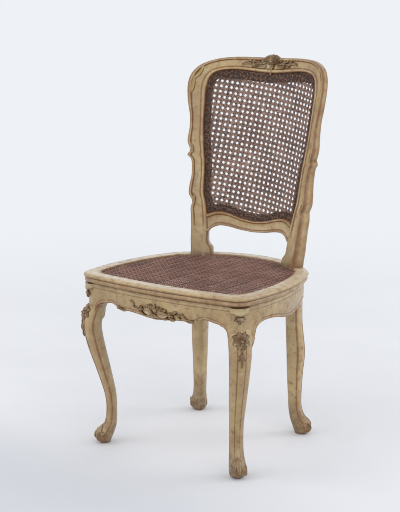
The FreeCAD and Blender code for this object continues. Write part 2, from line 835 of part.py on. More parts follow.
def main():
    """Build every piece, put the origin in the middle of the chair and write the files."""
    front = -seat_front_reach - seat_front_bow
    rear = back_y(0, overall_height, crest_thickness)
    to_middle = Vector(0, -(front + rear) / 2, 0)
    os.makedirs("parts", exist_ok=True)
    for name, shape in build().items():
        shape.translate(to_middle)
        print(name, len(shape.Solids), shape.isValid(), round(shape.Volume))
        shape.exportStep("parts/" + name + ".step")


main()
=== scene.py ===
# %% [markdown]
# # A lacquered chair with a caned seat and a caned back
# The chair is a side chair: four bent legs on scroll feet, shaped rails, a moulded seat frame with a
# woven cane panel, and a bowed, raked back with a second panel of the same weave.
# It is modelled in metres on the CAD frame, with its front towards -Y.

# %% Load the frame
import bpy
import math
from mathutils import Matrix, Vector


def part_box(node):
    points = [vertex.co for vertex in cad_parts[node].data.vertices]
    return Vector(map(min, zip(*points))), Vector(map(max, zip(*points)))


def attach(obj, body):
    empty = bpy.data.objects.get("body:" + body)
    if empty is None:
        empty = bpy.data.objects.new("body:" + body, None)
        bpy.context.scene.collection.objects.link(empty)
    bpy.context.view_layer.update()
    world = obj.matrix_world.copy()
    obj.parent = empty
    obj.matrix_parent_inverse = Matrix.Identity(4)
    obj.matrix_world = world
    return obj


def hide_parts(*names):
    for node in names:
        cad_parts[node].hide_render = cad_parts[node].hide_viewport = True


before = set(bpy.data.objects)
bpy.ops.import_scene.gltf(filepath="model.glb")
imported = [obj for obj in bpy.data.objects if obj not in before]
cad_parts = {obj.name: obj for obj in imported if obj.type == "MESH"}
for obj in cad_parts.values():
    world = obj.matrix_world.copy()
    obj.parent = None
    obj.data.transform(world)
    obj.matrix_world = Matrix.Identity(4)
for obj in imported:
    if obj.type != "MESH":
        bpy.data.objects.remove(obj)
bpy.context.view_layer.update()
scene = bpy.context.scene
scene.view_settings.view_transform = "Standard"

# %% [markdown]
# ## Sizes
# Sizes are those of the CAD part, in metres. Two heights and the reach of the seat come first, and each
# later step adds its own. The CAD part sits with its middle on the origin, so the place of the seat's
# front edge gives the shift along Y.

# %% Driving sizes
overall_height = 0.988
seat_height = 0.455
seat_front_reach = 0.234
seat_front_bow = 0.022
shift_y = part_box("seat_frame_front")[0][1] + seat_front_reach + seat_front_bow
print("shift along y", round(shift_y, 5))

# %% [markdown]
# ## Camera
# The photo looks at the chair from its front right, from a little above its crest, through a long lens.
# The camera could be set by eye; here it was fitted to the feet, the seat frame and the back. A narrow
# pixel filter keeps the fine cane as crisp as in the photo.

# %% Camera
lens_mm = 87.9
pixel_filter_width = 1.0
camera_place = Vector((1.8166, -2.5468 + shift_y, 1.1329))
camera_aim = Vector((-0.0426, shift_y, 0.4826))
bpy.ops.object.camera_add(location=camera_place)
camera = bpy.context.object
camera.rotation_euler = (camera_aim - camera_place).to_track_quat("-Z", "Y").to_euler()
camera.data.lens = lens_mm
scene.camera = camera
scene.cycles.filter_width = pixel_filter_width
print("camera looks from", camera_place)

# %% [markdown]
# ## Short calls for finishes
# Each finish on the chair is mixed from noise and from numbers kept on the mesh. The nodes could be
# wired one by one. A small class with one call per node keeps every finish short enough to read.

# %% Screen colours
def linear(red, green, blue):
    """A colour given as it looks on screen, from 0 to 255, as the shader wants it."""
    parts = []
    for value in (red, green, blue):
        part = value / 255
        parts.append(part / 12.92 if part < 0.04045 else ((part + 0.055) / 1.055) ** 2.4)
    return (*parts, 1.0)


print("middle grey becomes", linear(128, 128, 128))


# %% Shader calls
class Shader:
    """A few short calls for laying out a procedural material."""

    def __init__(self, name):
        self.material = bpy.data.materials.new(name)
        self.material.use_nodes = True
        self.nodes = self.material.node_tree.nodes
        self.links = self.material.node_tree.links
        self.surface = self.nodes["Principled BSDF"]
        self.place = self.nodes.new("ShaderNodeTexCoord").outputs["Object"]

    def put(self, value, socket):
        if hasattr(value, "node"):
            self.links.new(value, socket)
        else:
            socket.default_value = value

    def noise(self, scale, detail=4.0, stretch=None, rough=0.55):
        node = self.nodes.new("ShaderNodeTexNoise")
        source = self.place
        if stretch:
            spread = self.nodes.new("ShaderNodeMapping")
            spread.inputs["Scale"].default_value = stretch
            self.links.new(source, spread.inputs["Vector"])
            source = spread.outputs["Vector"]
        self.links.new(source, node.inputs["Vector"])
        node.inputs["Scale"].default_value = scale
        node.inputs["Detail"].default_value = detail
        node.inputs["Roughness"].default_value = rough
        return node.outputs["Fac"]

    def band(self, value, low, high):
        """Ramp a value from 0 at low to 1 at high."""
        node = self.nodes.new("ShaderNodeMapRange")
        node.interpolation_type = "SMOOTHSTEP"
        self.put(value, node.inputs["Value"])
        node.inputs["From Min"].default_value = low
        node.inputs["From Max"].default_value = high
        return node.outputs["Result"]

    def sum(self, operation, first, second):
        node = self.nodes.new("ShaderNodeMath")
        node.operation = operation
        self.put(first, node.inputs[0])
        self.put(second, node.inputs[1])
        return node.outputs["Value"]

    def mix(self, share, first, second):
        """Mix two colours; the node keeps them in its sockets 6 and 7."""
        node = self.nodes.new("ShaderNodeMix")
        node.data_type = "RGBA"
        self.put(share, node.inputs[0])
        self.put(first, node.inputs[6])
        self.put(second, node.inputs[7])
        return node.outputs[2]

    def attribute(self, name):
        node = self.nodes.new("ShaderNodeAttribute")
        node.attribute_name = name
        return node.outputs["Fac"]

    def bump(self, height, strength, distance):
        node = self.nodes.new("ShaderNodeBump")
        node.inputs["Strength"].default_value = strength
        node.inputs["Distance"].default_value = distance
        self.links.new(height, node.inputs["Height"])
        self.links.new(node.outputs["Normal"], self.surface.inputs["Normal"])

    def finish(self, colour, roughness):
        self.put(colour, self.surface.inputs["Base Color"])
        self.put(roughness, self.surface.inputs["Roughness"])
        return self.material


print("shader helpers ready")

# %% [markdown]
# ## Paper, backdrop and light
# The chair stands on a roll of pale paper that rises behind it with no corner to be seen. A bent sheet
# could be modelled. One large plane is enough: near the chair it takes the shadows, and further off it
# fades into a glow in the colour of the backdrop, so that no horizon shows.

# %% Paper floor
floor_half = 30.0
fade_start, fade_end = 0.6, 3.2
dim_start_y, dim_end_y = -0.15, -0.55
light_pool_edge, light_pool_core = 0.35, 0.10
backdrop = linear(238, 241, 245)
bpy.ops.object.select_all(action="DESELECT")
bpy.ops.mesh.primitive_plane_add(size=2 * floor_half)
floor = bpy.context.object
floor.name = "studio_floor"
paper = Shader("pale_paper")
away = paper.nodes.new("ShaderNodeVectorMath")
away.operation = "LENGTH"
paper.links.new(paper.place, away.inputs[0])
distance = away.outputs["Value"]
axes = paper.nodes.new("ShaderNodeSeparateXYZ")
paper.links.new(paper.place, axes.inputs[0])
# Painted shade: the paper grows darker towards the camera.
camera_side_shade = paper.band(axes.outputs["Y"], dim_start_y, dim_end_y)
mottle = paper.band(paper.noise(2.0), 0.3, 0.7)
paper_tone = paper.mix(mottle, linear(218, 221, 228), linear(214, 217, 224))
paper_tone = paper.mix(camera_side_shade, paper_tone, linear(198, 202, 210))
# Painted light: a paler pool on the paper round the chair.
paper_tone = paper.mix(paper.band(distance, light_pool_edge, light_pool_core), paper_tone, linear(228, 230, 236))
paper.finish(paper_tone, 0.9)
glow = paper.nodes.new("ShaderNodeEmission")
glow.inputs["Color"].default_value = backdrop
blend = paper.nodes.new("ShaderNodeMixShader")
paper.links.new(paper.band(distance, fade_start, fade_end), blend.inputs[0])
paper.links.new(paper.surface.outputs["BSDF"], blend.inputs[1])
paper.links.new(glow.outputs["Emission"], blend.inputs[2])
paper.links.new(blend.outputs["Shader"], paper.nodes["Material Output"].inputs["Surface"])
floor.data.materials.append(paper.material)
print("paper laid to", floor_half, "metres")

# %% [markdown]
# The world does two jobs. Straight views, reflections and rays through a surface see the plain colour of
# the backdrop, and all other rays see a stronger white that lights the chair from every side.

# %% World
sky_strength = 1.10
world = bpy.data.worlds.new("studio")
world.use_nodes = True
scene.world = world
sky_nodes = world.node_tree.nodes
sky_links = world.node_tree.links
seen = sky_nodes["Background"]
seen.inputs["Color"].default_value = backdrop
lit = sky_nodes.new("ShaderNodeBackground")
lit.inputs["Color"].default_value = linear(243, 242, 240)
lit.inputs["Strength"].default_value = sky_strength
ray = sky_nodes.new("ShaderNodeLightPath")
straight = ray.outputs["Is Camera Ray"]
for name in ("Is Glossy Ray", "Is Transmission Ray"):
    larger = sky_nodes.new("ShaderNodeMath")
    larger.operation = "MAXIMUM"
    sky_links.new(straight, larger.inputs[0])
    sky_links.new(ray.outputs[name], larger.inputs[1])
    straight = larger.outputs["Value"]
either = sky_nodes.new("ShaderNodeMixShader")
sky_links.new(straight, either.inputs[0])
sky_links.new(lit.outputs["Background"], either.inputs[1])
sky_links.new(seen.outputs["Background"], either.inputs[2])
sky_links.new(either.outputs["Shader"], sky_nodes["World Output"].inputs["Surface"])
print("world lit at", sky_strength)

# %% [markdown]
# Four large lamps shape the light: a key from the upper left, a weaker fill from the right, a low one for
# the legs and one from behind for the edges. Large lamps give the soft shadows of a studio.


# %% Lamps
def area_light(name, place, aim, size, power):
    bpy.ops.object.light_add(type="AREA", location=place)
    lamp = bpy.context.object
    lamp.name = name
    lamp.data.size = size
    lamp.data.energy = power
    lamp.rotation_euler = (Vector(aim) - Vector(place)).to_track_quat("-Z", "Y").to_euler()
    print(name, power, "watts")


seat_middle = (0, 0, 0.5)
leg_middle = (0, 0, 0.1)
area_light("key_light", (-1.9, -2.2, 2.4), seat_middle, size=2.4, power=24)
area_light("fill_light", (2.6, -1.2, 1.8), seat_middle, size=2.4, power=12)
area_light("low_light", (0.4, -3.2, 0.9), leg_middle, size=2.0, power=8)
area_light("edge_light", (1.9, 1.9, 1.9), seat_middle, size=1.4, power=16)

# %% [markdown]
# ## The lacquer
# The chair is painted a greenish cream that has yellowed and worn. Its mouldings are picked out in brown
# lines, dirt and painted shade darken the hollows and undersides, a painted sheen lies on the top of the
# seat frame, and the brown ground shows where hands have rubbed. A picture could be wrapped round the wood.
# Noise and painted numbers need no picture and follow the mouldings exactly.

# %% Lacquer
cream, yellowed_cream, bleached_cream = linear(178, 153, 107), linear(155, 129, 87), linear(188, 174, 136)
brown_speck, dark_grain = linear(136, 105, 70), linear(116, 86, 56)
# The pale mark is a painted sheen: the top of the seat frame is made paler as if lit from above.
painted_top_sheen, old_gilt = linear(197, 185, 167), linear(178, 144, 78)
dirt_brown, line_brown, painted_hollow_shade = linear(92, 61, 32), linear(120, 72, 26), linear(108, 80, 52)
hollow_reach = 0.008
lacquer_relief = 0.0006


def lacquer_material(name):
    coat = Shader(name)
    broad = coat.noise(7.0, detail=5.0)
    fine = coat.noise(60.0, detail=6.0, rough=0.65)
    grain = coat.noise(180.0, detail=4.0, rough=0.7)
    tone = coat.mix(coat.band(broad, 0.35, 0.68), cream, yellowed_cream)
    patch = coat.sum("MULTIPLY", coat.band(coat.noise(24.0, detail=4.0), 0.48, 0.70), 0.5)
    tone = coat.mix(patch, tone, bleached_cream)
    tone = coat.mix(coat.band(fine, 0.48, 0.74), tone, brown_speck)
    tone = coat.mix(coat.band(grain, 0.60, 0.76), tone, dark_grain)
    # The dirt mark holds real dirt and painted shade: it also darkens the underside of the seat frame, the
    # faces of the rails and the underside of the label.
    for mark_name, low, high, colour in (
            ("pale", 0.75, 0.35, painted_top_sheen), ("wear", 0.30, 0.55, old_gilt),
            ("dirt", 0.15, 0.60, dirt_brown), ("line", 0.22, 0.50, line_brown)):
        share = coat.sum("MULTIPLY", coat.attribute(mark_name), coat.band(fine, low, high))
        tone = coat.mix(share, tone, colour)
    # Painted shade: the colour turns brown where ambient occlusion finds a hollow.
    shade = coat.nodes.new("ShaderNodeAmbientOcclusion")
    shade.inputs["Distance"].default_value = hollow_reach
    tone = coat.mix(coat.band(shade.outputs["AO"], 0.75, 0.30), tone, painted_hollow_shade)
    coat.bump(coat.sum("ADD", fine, grain), 0.25, lacquer_relief)
    coat.surface.inputs["Coat Weight"].default_value = 0.55
    coat.surface.inputs["Coat Roughness"].default_value = 0.22
    return coat.finish(tone, coat.band(fine, -0.5, 1.5))


lacquer = lacquer_material("aged_cream_lacquer")
print("lacquer mixed in", len(lacquer.node_tree.nodes), "nodes")

# %% [markdown]
# ## Cane and bare wood
# The cane has darkened to a reddish brown. Each strand is flecked, pale along its crown and darkened along
# its edges as painted shade, and where it lies on the ledge of the back it is blotched dark as painted
# shade. The ledge behind it is coloured dark as painted shade, and wood that nobody sees was left bare.
# Both finishes are mixed by a function, because the cane and the wood come in two tones each.

# %% Cane and wood
strand_shade_dark, fleck_brown = linear(40, 23, 17), linear(50, 32, 25)
ledge_shade_dark, ledge_shade_brown = linear(34, 18, 12), linear(112, 76, 54)
cane_relief = 0.0003
wood_relief = 0.0005


def cane_material(name, pale, deep, fleck_low, fleck_high):
    straw = Shader(name)
    broad = straw.noise(14.0, detail=4.0)
    fine = straw.noise(300.0, detail=3.0)
    tone = straw.mix(straw.band(broad, 0.3, 0.7), pale, deep)
    tone = straw.mix(straw.band(fine, fleck_low, fleck_high), tone, fleck_brown)
    # Painted shade: the lower edges of each strand are darkened.
    tone = straw.mix(straw.attribute("dirt"), tone, strand_shade_dark)
    # Painted shade: strands that lie over the ledge are blotched dark.
    blotch = straw.band(straw.noise(260.0, detail=2.0), 0.45, 0.60)
    ledge_shade = straw.mix(blotch, ledge_shade_dark, ledge_shade_brown)
    tone = straw.mix(straw.attribute("ledge_shade"), tone, ledge_shade)
    straw.bump(fine, 0.3, cane_relief)
    return straw.finish(tone, 0.55)


def wood_material(name, pale, deep):
    timber = Shader(name)
    grain = timber.noise(40.0, detail=6.0, stretch=(1.0, 1.0, 0.12))
    tone = timber.mix(timber.band(grain, 0.35, 0.68), pale, deep)
    timber.bump(grain, 0.2, wood_relief)
    return timber.finish(tone, 0.7)


back_straw = cane_material(
    "back_cane_straw", linear(164, 132, 117), linear(124, 96, 83), fleck_low=0.46, fleck_high=0.60)
seat_straw = cane_material(
    "seat_cane_straw", linear(160, 118, 103), linear(124, 87, 74), fleck_low=0.56, fleck_high=0.80)
# Painted shade: the ledge behind the back cane is coloured very dark.
ledge_shade_wood = wood_material("ledge_wood_painted_shade", linear(66, 42, 30), linear(44, 27, 19))
bare_wood = wood_material("bare_beech", linear(176, 138, 96), linear(150, 112, 74))
print("cane and wood mixed")

# %% [markdown]
# ## One way to make a moulded member
# A chair maker runs a moulding along a bent or shaped piece. A curve with a bevel could do that for one
# plain section. These sections swell and turn on the way, so a grid is added, its rows are laid on the
# sections, its long edges are welded and its ends are filled. The sections between the given ones come
# from a smooth curve.


# %% Rows between the given rows
def smooth_rows(rows, steps, breaks=()):
    """Rows of numbers filled in by a smooth curve through them, sharp at the breaks."""
    filled = []
    for i in range(len(rows) - 1):
        here, after = rows[i], rows[i + 1]
        before = here if i == 0 or i in breaks else rows[i - 1]
        beyond = after if i + 2 == len(rows) or i + 1 in breaks else rows[i + 2]
        for k in range(steps):
            t = k / steps
            point = []
            for a, b, c, d in zip(before, here, after, beyond):
                slope_in = (c - a) / 2
                slope_out = (d - b) / 2
                rise = c - b
                point.append(b + slope_in * t + (3 * rise - 2 * slope_in - slope_out) * t ** 2
                             + (slope_in + slope_out - 2 * rise) * t ** 3)
            filled.append(tuple(point))
    filled.append(tuple(rows[-1]))
    return filled


def between(first, second, share):
    return first + (second - first) * share


print("half way from 2 to 4 is", between(2, 4, 0.5))

# %% [markdown]
# An operator acts on all that is selected. These calls select one piece, run operators on all of its mesh
# or pick faces of it, so that the later cells can say only what is done.


# %% Selecting and editing
def select_only(piece):
    bpy.ops.object.select_all(action="DESELECT")
    piece.select_set(True)
    bpy.context.view_layer.objects.active = piece


def edit(*steps):
    """Run mesh operators on the whole of the active piece."""
    bpy.ops.object.mode_set(mode="EDIT")
    bpy.ops.mesh.select_all(action="SELECT")
    for step in steps:
        step()
    bpy.ops.object.mode_set(mode="OBJECT")


weld_distance = 0.00001


def weld():
    bpy.ops.mesh.remove_doubles(threshold=weld_distance)


def cap():
    bpy.ops.mesh.fill_holes(sides=0)


def face_out():
    bpy.ops.mesh.normals_make_consistent(inside=False)


def select_faces(piece, chosen):
    """Leave the active piece in edit mode with only the chosen faces selected."""
    bpy.ops.object.mode_set(mode="EDIT")
    bpy.ops.mesh.select_mode(type="FACE")
    bpy.ops.mesh.select_all(action="DESELECT")
    bpy.ops.object.mode_set(mode="OBJECT")
    for face in piece.data.polygons:
        face.select = chosen(face)
    bpy.ops.object.mode_set(mode="EDIT")


print("edit calls ready")

# %% [markdown]
# A skin is a grid with one row of points per section. Each point also carries the numbers that the finishes
# read: painted line, dirt and painted shade, a painted sheen, worn gilt and, on the cane, painted shade over
# the ledge.


# %% Laying a skin
def mark(piece, name, values):
    """Keep one number per point for the materials to read."""
    layer = piece.data.attributes.new(name, "FLOAT", "POINT")
    layer.data.foreach_set("value", values)


def lay_skin(name, rings, material, marks=None, sharp_degrees=40, ends=True):
    """A closed tube through rings of points; marks gives one number per point of every ring."""
    across = len(rings[0])
    select_only(floor)
    bpy.ops.mesh.primitive_grid_add(x_subdivisions=across, y_subdivisions=len(rings) - 1, size=1)
    piece = bpy.context.object
    piece.name = name
    places = []
    for ring in rings:
        for point in list(ring) + [ring[0]]:
            places.extend(point)
    piece.data.vertices.foreach_set("co", places)
    for mark_name, table in (marks or {}).items():
        values = []
        for row in table:
            values.extend(list(row) + [row[0]])
        mark(piece, mark_name, values)
    edit(weld, *([cap] if ends else []), face_out)
    bpy.ops.object.shade_smooth_by_angle(angle=math.radians(sharp_degrees))
    piece.data.materials.append(material)
    return piece


def section_marks(section, count, **columns):
    """Columns of a section as marks, the same on each of count rings."""
    return {name: [[row[column] for row in section]] * count for name, column in columns.items()}


print("skins can be laid")

# %% [markdown]
# Skins and carvings of one member are joined, a left-hand piece is the mirrored copy of its right-hand
# twin, and a finished piece takes the place of its CAD node.


# %% Joining, copying and handing in
def join(name, *pieces):
    """Several skins become one piece, each turned right side out."""
    select_only(pieces[0])
    for piece in pieces[1:]:
        piece.select_set(True)
    bpy.ops.object.join()
    edit(face_out)
    pieces[0].name = name
    pieces[0].data.name = name
    return pieces[0]


def mirror_copy(piece, name):
    """The left-hand twin of a right-hand piece, with its own mesh."""
    select_only(piece)
    bpy.ops.object.duplicate(linked=False)
    twin = bpy.context.object
    twin.name = name
    twin.data.name = name
    bpy.ops.transform.mirror(orient_type="GLOBAL", constraint_axis=(True, False, False))
    bpy.ops.object.transform_apply(location=True, rotation=True, scale=True)
    edit(weld, face_out)
    return twin


def hand_in(piece, slot, *nodes):
    """Fix a finished piece to the chair and let it stand for its CAD nodes."""
    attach(piece, "root")
    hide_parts(*nodes)
    print(piece.name, len(piece.data.vertices), "points")


print("pieces can be joined, mirrored and handed in")

# %% [markdown]
# ## The frame of the back
# Two uprights and a crest carry one moulding: an outer bead, a broad hollow and an inner bead beside
# the cane. The face is bowed in plan and leans back, and the timber grows thinner towards the crest.
# Each row of numbers is one section: outer x, outer z, inner x and inner z, as shares of the half
# width and of the height above the seat. The outer edge has a small scroll break at two rows.

# %% Tables of the back
back_height = overall_height - seat_height
back_half = 0.208
frame_shares = [
    (0.77, 0.00, 0.530, 0.00), (0.78, 0.04, 0.540, 0.03), (0.79, 0.07, 0.592, 0.06),
    (0.80, 0.13, 0.606, 0.13), (0.82, 0.20, 0.635, 0.205), (0.83, 0.23, 0.655, 0.24),
    (0.815, 0.265, 0.675, 0.27), (0.865, 0.30, 0.695, 0.30), (0.87, 0.34, 0.705, 0.34),
    (0.86, 0.40, 0.715, 0.40), (0.88, 0.47, 0.73, 0.47), (0.925, 0.495, 0.74, 0.495),
    (0.895, 0.515, 0.75, 0.515), (0.94, 0.565, 0.765, 0.565), (0.935, 0.63, 0.785, 0.63),
    (0.945, 0.69, 0.795, 0.69), (0.98, 0.76, 0.80, 0.76), (1.00, 0.835, 0.805, 0.82),
    (0.985, 0.89, 0.785, 0.872), (0.93, 0.93, 0.74, 0.900), (0.84, 0.956, 0.68, 0.912),
    (0.69, 0.975, 0.59, 0.918), (0.49, 0.983, 0.46, 0.919), (0.29, 0.983, 0.32, 0.914),
    (0.14, 0.982, 0.16, 0.908), (0.00, 0.983, 0.00, 0.904),
]
notch_rows = (6, 12)
joint_row = 16
steps_per_row = 5
frame_rows = smooth_rows(frame_shares, steps_per_row, notch_rows)
print("back in", len(frame_rows), "rows")

# %% [markdown]
# Every place on the back is given flat, as seen from the front, and then moved onto the face. The face is
# part of a cylinder that leans back, so a depth is measured square to its round.

# %% Places on the back
back_radius = 0.310
back_rake = 0.198
back_seat_reach = 0.163
back_seat_y = back_seat_reach + shift_y
post_thickness = 0.038
crest_thickness = 0.017
taper_share = 0.7


def on_back(x_share, z_share):
    return Vector((back_half * x_share, 0, seat_height + back_height * z_share))


def behind(place, depth):
    """Point square behind a place on the bowed, raked face of the back."""
    centre = back_seat_y + back_rake * (place.z - seat_height) - back_radius
    forward = math.sqrt(back_radius ** 2 - place.x ** 2)
    square = Vector((place.x, forward, 0)) / back_radius
    return Vector((0, centre, place.z)) + square * (back_radius + depth)


def thickness_at(z):
    share = min(max((z - seat_height) / (taper_share * back_height), 0), 1)
    return between(post_thickness, crest_thickness, share)


print("middle of the crest lies at", behind(on_back(0, 1), 0))

# %% [markdown]
# The moulding is drawn once, as a section. Each row gives a place across the face, a depth in metres, a
# depth in thicknesses, and the strength of the painted line and of the darkening. Under the stay the
# moulding dies out into a plain post, a little darker.

# %% Section of the frame
frame_section = [
    (0.000, 0.0030, 0.0, 0.9, 0.6), (0.025, 0.0008, 0.0, 0.8, 0.3), (0.070, 0.0000, 0.0, 0.2, 0.0),
    (0.120, 0.0002, 0.0, 0.1, 0.0), (0.165, 0.0010, 0.0, 0.7, 0.5), (0.190, 0.0024, 0.0, 1.0, 1.0),
    (0.215, 0.0029, 0.0, 0.6, 0.7), (0.260, 0.0032, 0.0, 0.0, 0.1), (0.340, 0.0035, 0.0, 0.0, 0.0),
    (0.440, 0.0036, 0.0, 0.0, 0.0), (0.540, 0.0035, 0.0, 0.0, 0.0), (0.640, 0.0031, 0.0, 0.0, 0.1),
    (0.700, 0.0026, 0.0, 0.5, 0.5), (0.725, 0.0022, 0.0, 1.0, 1.0), (0.745, 0.0012, 0.0, 0.9, 0.7),
    (0.770, 0.0005, 0.0, 0.3, 0.1), (0.820, 0.0000, 0.0, 0.0, 0.0), (0.880, 0.0001, 0.0, 0.1, 0.0),
    (0.930, 0.0007, 0.0, 0.8, 0.3), (0.975, 0.0022, 0.0, 1.0, 0.8), (1.000, 0.0045, 0.0, 0.8, 1.0),
    (1.000, 0.0000, 0.55, 0.0, 0.5), (0.985, 0.0000, 0.86, 0.3, 0.0), (0.920, 0.0000, 0.98, 0.2, 0.0),
    (0.750, 0.0000, 1.00, 0.0, 0.0), (0.250, 0.0000, 1.00, 0.0, 0.0), (0.080, 0.0000, 0.98, 0.2, 0.0),
    (0.015, 0.0000, 0.86, 0.5, 0.2), (0.000, 0.0000, 0.50, 0.1, 0.0),
]
plain_start_share = 0.17
plain_fade_share = 0.05
plain_flatness = 0.8
plain_dirt = 0.2
edge_bead_share = 0.1
foot_dirt = 0.9
foot_dirt_share = 0.035


def plain_share(row):
    """One under the stay, where the moulding dies out, and zero above it."""
    return min(max((plain_start_share - row[1]) / plain_fade_share, 0), 1)


def on_face(place_share):
    """True on the broad face between the two edge beads."""
    return edge_bead_share < place_share < 1 - edge_bead_share


def frame_ring(row):
    outer = on_back(row[0], row[1])
    inner = on_back(row[2], row[3])
    ring = []
    for place_share, depth, thick, _, _ in frame_section:
        place = between(outer, inner, place_share)
        sunk = depth * (1 - plain_flatness * plain_share(row)) if on_face(place_share) else depth
        ring.append(behind(place, sunk + thick * thickness_at(place.z)))
    return ring


def frame_marks(rows):
    """Lines and darkening of the section, darker still at the feet of the uprights and on the plain post."""
    lines, dirts = [], []
    for row in rows:
        low_darkening = max(foot_dirt * (1 - row[1] / foot_dirt_share), plain_dirt * plain_share(row))
        kept = [1 - plain_share(row) if on_face(place[0]) else 1 for place in frame_section]
        lines.append([place[3] * keep for place, keep in zip(frame_section, kept)])
        dirts.append([max(place[4] * keep, low_darkening) for place, keep in zip(frame_section, kept)])
    return {"line": lines, "dirt": dirts}


print("section of", len(frame_section), "points")

# %% [markdown]
# The right upright runs from under the seat to its joint with the crest. The crest is laid as its right
# half and the same half turned over, so that it is one skin without a seam in the middle.


# %% Uprights and crest
def other_side(points):
    return [Vector((-p.x, p.y, p.z)) for p in points]


joint_step = joint_row * steps_per_row
below_seat = [(0.77, -0.13, 0.530, -0.13), (0.77, -0.06, 0.530, -0.06)]
post_rows = below_seat + frame_rows[:joint_step + 1]
right_post = lay_skin("right_post", [frame_ring(row) for row in post_rows], lacquer, frame_marks(post_rows))
crest_rows = frame_rows[joint_step:]
crest_half = [frame_ring(row) for row in crest_rows]
crest_rings = crest_half + [other_side(ring) for ring in crest_half[-2::-1]]
crest = lay_skin("crest_moulding", crest_rings, lacquer, frame_marks(crest_rows + crest_rows[-2::-1]))
print("frame of the back laid in", len(frame_rows), "sections")

# %% [markdown]
# ## The legs
# Each leg is a cabriole: the knee swings out on the diagonal, the ankle draws in, and the foot rolls
# out again into a scroll. A carver saws it from the square and rounds it to a ridge on the diagonal.
# Rows give height, outward reach, inward reach and width, as shares.

# %% Leg tables
front_leg_shares = [
    (0.00, 0.23, -0.29, 0.47), (0.02, 0.39, -0.35, 0.73), (0.045, 0.47, -0.44, 0.78),
    (0.08, 0.38, -0.55, 0.76), (0.125, 0.00, -0.63, 0.67), (0.21, -0.11, -0.65, 0.64),
    (0.31, -0.03, -0.62, 0.67), (0.46, 0.35, -0.38, 0.80), (0.605, 0.75, -0.12, 0.91),
    (0.72, 0.96, 0.04, 1.00), (0.80, 0.90, -0.06, 1.04), (0.90, 0.52, -0.38, 1.12),
]
rear_leg_shares = [
    (0.00, 0.33, -0.29, 0.51), (0.02, 0.44, -0.35, 0.76), (0.045, 0.52, -0.42, 0.85),
    (0.075, 0.50, -0.51, 0.82), (0.12, 0.18, -0.61, 0.69), (0.175, 0.02, -0.67, 0.66),
    (0.24, -0.01, -0.70, 0.68), (0.39, 0.05, -0.77, 0.76), (0.53, 0.14, -0.81, 0.84),
    (0.70, -0.01, -0.87, 0.87), (0.83, -0.04, -0.88, 0.87), (1.00, -0.04, -0.88, 0.87),
]
rim_thickness = 0.026
rim_low = seat_height - rim_thickness
front_facing, rear_facing = -1, 1
leg_reach = 0.052
leg_width = 0.055
front_foot = Vector((0.210, -0.1925 + shift_y, 0))
rear_foot = Vector((0.1675, 0.167 + shift_y, 0))
diagonal = math.sqrt(0.5)
rib_share = 0.34
rib_fall_share = 0.07
flank_power = 1.7
back_power = 1.4
leg_steps = 6
leg_dirt_share = 0.30
back_ridge_line = 0.1
# Front of the section: place across the half width, lift in metres, painted line, darkening.
leg_front = [
    (0.00, 0.0, 0.0, 0.0), (0.14, 0.0, 0.0, 0.0), (0.29, 0.0, 0.0, 0.0), (0.335, 0.0, 0.7, 0.3),
    (0.37, -0.0006, 0.8, 1.0), (0.41, -0.0002, 0.3, 0.3), (0.46, 0.0, 0.0, 0.0), (0.66, 0.0, 0.0, 0.0),
    (0.79, 0.0, 0.0, 0.0), (0.90, 0.0, 0.1, 0.0), (0.96, 0.0, 0.2, 0.0), (1.00, 0.0, 1.0, 0.6),
]
# Back of the section: place across the half width, painted line, darkening.
leg_back = [(0.96, 0.1, 0.0), (0.80, 0.0, 0.0), (0.55, 0.0, 0.0), (0.28, 0.0, 0.0)]
print("leg tables of", len(front_leg_shares), "rows")

# %% [markdown]
# A section of the leg is a soft lozenge with its long axis on the outward diagonal. A flat rib with a
# painted line on each side runs down the outer ridge, and the colour grows darker towards the foot.


# %% Leg sections
def leg_frame(foot, facing, row):
    """Outward and sideways directions, middle and half sizes of a leg at one row."""
    out = Vector((diagonal, facing * diagonal, 0))
    over = Vector((-out.y, out.x, 0))
    height, outward, inward, width = row
    middle = foot + out * leg_reach * (outward + inward) / 2 + Vector((0, 0, rim_low * height))
    return out, over, middle, leg_reach * (outward - inward) / 2, leg_width * width / 2


def flank(share, power=flank_power):
    """How far a soft lozenge reaches out at a share of its half width."""
    return max(1 - abs(share) ** power, 0) ** (1 / power)


def leg_reach_at(share):
    """The flank with a flat-topped rib down its middle."""
    if abs(share) > rib_share:
        return flank(share)
    return 1 - rib_fall_share * (share / rib_share) ** 2


def leg_ring(foot, facing, row):
    """Section of a leg: a soft lozenge with its long axis on the outward diagonal."""
    out, over, middle, half_out, half_over = leg_frame(foot, facing, row)
    ring = []
    for share, lift, _, _ in leg_front:
        ring.append(middle + out * (half_out * leg_reach_at(share) + lift) + over * half_over * share)
    for share, _, _ in leg_back:
        ring.append(middle - out * half_out * flank(share, back_power) + over * half_over * share)
    ring.append(middle - out * half_out)
    for share, _, _ in leg_back[::-1]:
        ring.append(middle - out * half_out * flank(share, back_power) - over * half_over * share)
    for share, lift, _, _ in leg_front[:0:-1]:
        ring.append(middle + out * (half_out * leg_reach_at(share) + lift) - over * half_over * share)
    return ring


def leg_marks(rows):
    """Painted lines along the rib and the outer edges, and a darkening that grows towards the foot."""
    lines, dirts = [], []
    half_line = [row[2] for row in leg_front] + [row[1] for row in leg_back]
    half_dirt = [row[3] for row in leg_front] + [row[2] for row in leg_back]
    for row in rows:
        low_darkening = foot_dirt * max(0, 1 - row[0] / leg_dirt_share)
        lines.append(half_line + [back_ridge_line] + half_line[:0:-1])
        dirts.append([max(value, low_darkening) for value in half_dirt + [0.0] + half_dirt[:0:-1]])
    return {"line": lines, "dirt": dirts}


def leg_skin(name, foot, facing, shares):
    rows = smooth_rows(shares, leg_steps)
    rings = [leg_ring(foot, facing, row) for row in rows]
    return lay_skin(name, rings, lacquer, leg_marks(rows), sharp_degrees=60)


